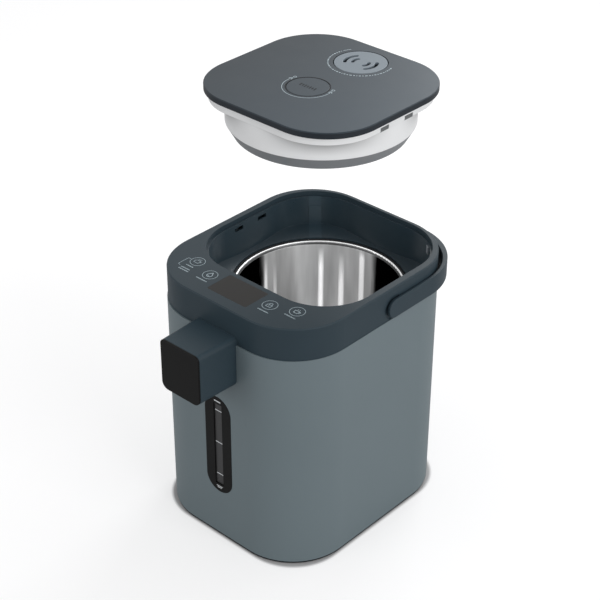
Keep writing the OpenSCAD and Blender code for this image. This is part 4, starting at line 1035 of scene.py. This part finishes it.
def front_of(name):
    """The upright plane of a piece's foremost face, with Z as its Y."""
    return Matrix.Translation((0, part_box(name)[0].y, 0)) @ TURN_TO_FRONT


def level_line(height, half, wide):
    return [(-half, height), (half, height)], wide, False


ticks = [level_line(height, TICK_HALF, TICK_WIDE) for height in TICK_HEIGHTS]
printed("level_ticks", ticks, front_of("gauge_lens"), "root", ink_white)
marks = [level_line(*mark) for mark in MARKS]
printed("level_marks", marks, front_of("gauge_frame"), "root", ink_white)

# %% [markdown]
# ## Gap fillers behind the handle
# When the handle lies back, a dark rubber strip fills the low end of the gap at each rear corner of the
# collar, so that the gap stays dark and no light shines through. Each strip follows the corner, from the
# collar's wall nearly to the handle's inner face. The handle's corner lies a little behind the collar's, so
# the strip is thin at the side and thick at the back.

# %% Handle gap fillers
collar_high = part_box("top_collar")[1]
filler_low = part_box("handle")[0].z
COLLAR_CORNER = 67 * MM
HANDLE_AWAY = Vector((0.4, 6.8)) * MM
FILLER_OFF = 0.1 * MM
FILLER_CLEAR = 0.7 * MM
FILLER_HIGH = 3 * MM
FILLER_FROM = 12
FILLER_TURN = 72
FILLER_STEPS = 24


def corner_filler(name, side):
    """A closed strip round one rear corner."""
    work = bmesh.new()
    centre = Vector((collar_high.x - COLLAR_CORNER, collar_high.y - COLLAR_CORNER))
    rows = []
    for step in range(FILLER_STEPS + 1):
        turn = math.radians(FILLER_FROM + FILLER_TURN * step / FILLER_STEPS)
        way = Vector((math.cos(turn), math.sin(turn)))
        near = centre + way * (COLLAR_CORNER + FILLER_OFF)
        far = centre + HANDLE_AWAY + way * (COLLAR_CORNER - FILLER_CLEAR)
        ring = ((near, 0), (far, 0), (far, FILLER_HIGH), (near, FILLER_HIGH))
        rows.append([work.verts.new((side * spot.x, spot.y, filler_low + rise)) for spot, rise in ring])
    skinned(work, rows)
    bmesh.ops.recalc_face_normals(work, faces=work.faces)
    piece = new_piece(name, work, finishes["black_rubber"].material)
    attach(piece, "root")
    print(name, len(piece.data.polygons), "faces from z", round(filler_low / MM, 1))


corner_filler("handle_gap_filler_right", 1)
corner_filler("handle_gap_filler_left", -1)

# %% [markdown]
# ## Floor
# The pot stands on an endless white table. The floor takes the pot's soft shadow, and gives a little light
# of its own to the camera, so that where no shadow falls it is simply white. Close to the foot that light
# fades to nothing, a painted contact shadow that makes the thin dark line under the pot, and some way round
# the foot it is a little dimmer, a faint painted shadow. To everything but the camera it is a grey table,
# which keeps the undersides of lid and spout in shade.

# %% Floor
FLOOR_R = 9.0
FLOOR_DROP = 0.2 * MM
FOOT_CORNER = 60 * MM
FOOT_PAINTED_SHADOW = (-1 * MM, 3 * MM)
FAR_PAINTED_SHADOW = (80 * MM, 700 * MM)
FLOOR_GLOW = 0.62
foot_low, foot_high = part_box("outer_shell")


def foot_away(finish):
    """How far a place on the floor is from the foot's rounded outline."""
    x, y, _ = finish.parts(finish.place())
    mid_y = (foot_high.y + foot_low.y) / 2
    half_y = (foot_high.y - foot_low.y) / 2
    past_x = ((x ** 2.0) ** 0.5 - (foot_high.x - FOOT_CORNER)).held()
    past_y = (((y - mid_y) ** 2.0) ** 0.5 - (half_y - FOOT_CORNER)).held()
    return (past_x ** 2.0 + past_y ** 2.0) ** 0.5 - FOOT_CORNER


def table_finish(name):
    finish = Finish(name)
    finish.set(Base_Color=finish.blend(finish.noise(2.0), linear(187, 187, 188), linear(190, 190, 191)))
    away = foot_away(finish)
    # Painted shadow: the glow fades to nothing at the foot and dims a little farther out.
    lit = away.between(*FOOT_PAINTED_SHADOW) * 0.9 + away.between(*FAR_PAINTED_SHADOW) * 0.1
    finish.set(Roughness=0.9, Specular_IOR_Level=0.1)
    finish.set(Emission_Color=finish.blend(lit, BLACK, WHITE), Emission_Strength=FLOOR_GLOW)
    dim = finish.out(finish.node("ShaderNodeBsdfDiffuse", {}, {"Color": linear(195, 195, 196)}))
    seen = finish.out(finish.node("ShaderNodeLightPath"), "Is Camera Ray")
    either = finish.node("ShaderNodeMixShader", {}, {0: seen, 1: dim, 2: finish.out(finish.shader, "BSDF")})
    finish.feed(finish.end.inputs["Surface"], finish.out(either))
    return finish


work = bmesh.new()
bmesh.ops.create_circle(work, cap_ends=True, radius=FLOOR_R, segments=96)
table = new_piece("table", work, table_finish("table_white").material)
table.location.z = -FLOOR_DROP
print("table", FLOOR_R * 2, "m across")

# %% [markdown]
# ## Air and lamps
# The air is white to camera, mirrors and glass, and dimmer as a lamp, so that four soft lamps can
# model the form: the right side is the bright one, and the front lies half a step darker. A small
# one hangs behind the lid and gives its plate a sheen.

# %% Air and lamps
AIR = 0.56


def soft_lamp(name, place, aim, size, watts):
    """A square soft box that looks at a point."""
    data = bpy.data.lights.new(name, "AREA")
    data.shape = "SQUARE"
    data.size = size
    data.energy = watts
    lamp = bpy.data.objects.new(name, data)
    lamp.location = place
    lamp.rotation_euler = (Vector(aim) - Vector(place)).to_track_quat("-Z", "Y").to_euler()
    bpy.context.scene.collection.objects.link(lamp)
    print("lamp", name, watts, "W at", place)


world = bpy.data.worlds.new("studio_air")
bpy.context.scene.world = world
world.use_nodes = True
studio = Net(world.node_tree)
path = studio.node("ShaderNodeLightPath")
seen = sum(studio.out(path, ray) for ray in ("Is Camera Ray", "Is Glossy Ray", "Is Transmission Ray"))
strength = AIR + seen.held() * (1.0 - AIR)
air = studio.node("ShaderNodeBackground", {}, {"Color": WHITE, "Strength": strength})
studio.node("ShaderNodeOutputWorld", {}, {"Surface": studio.out(air)})
soft_lamp("right_softbox", (2.4, -0.2, 1.1), aim=(0, 0, 0.2), size=1.6, watts=28.0)
soft_lamp("back_softbox", (0.5, 2.4, 1.5), aim=(0, 0, 0.3), size=1.6, watts=8.0)
soft_lamp("front_softbox", (-0.9, -2.4, 0.7), aim=(0, 0, 0.2), size=1.6, watts=13.0)
soft_lamp("lid_softbox", (-0.32, 1.1, 1.13), aim=(0.06, 0.06, 0.5), size=0.5, watts=5.0)
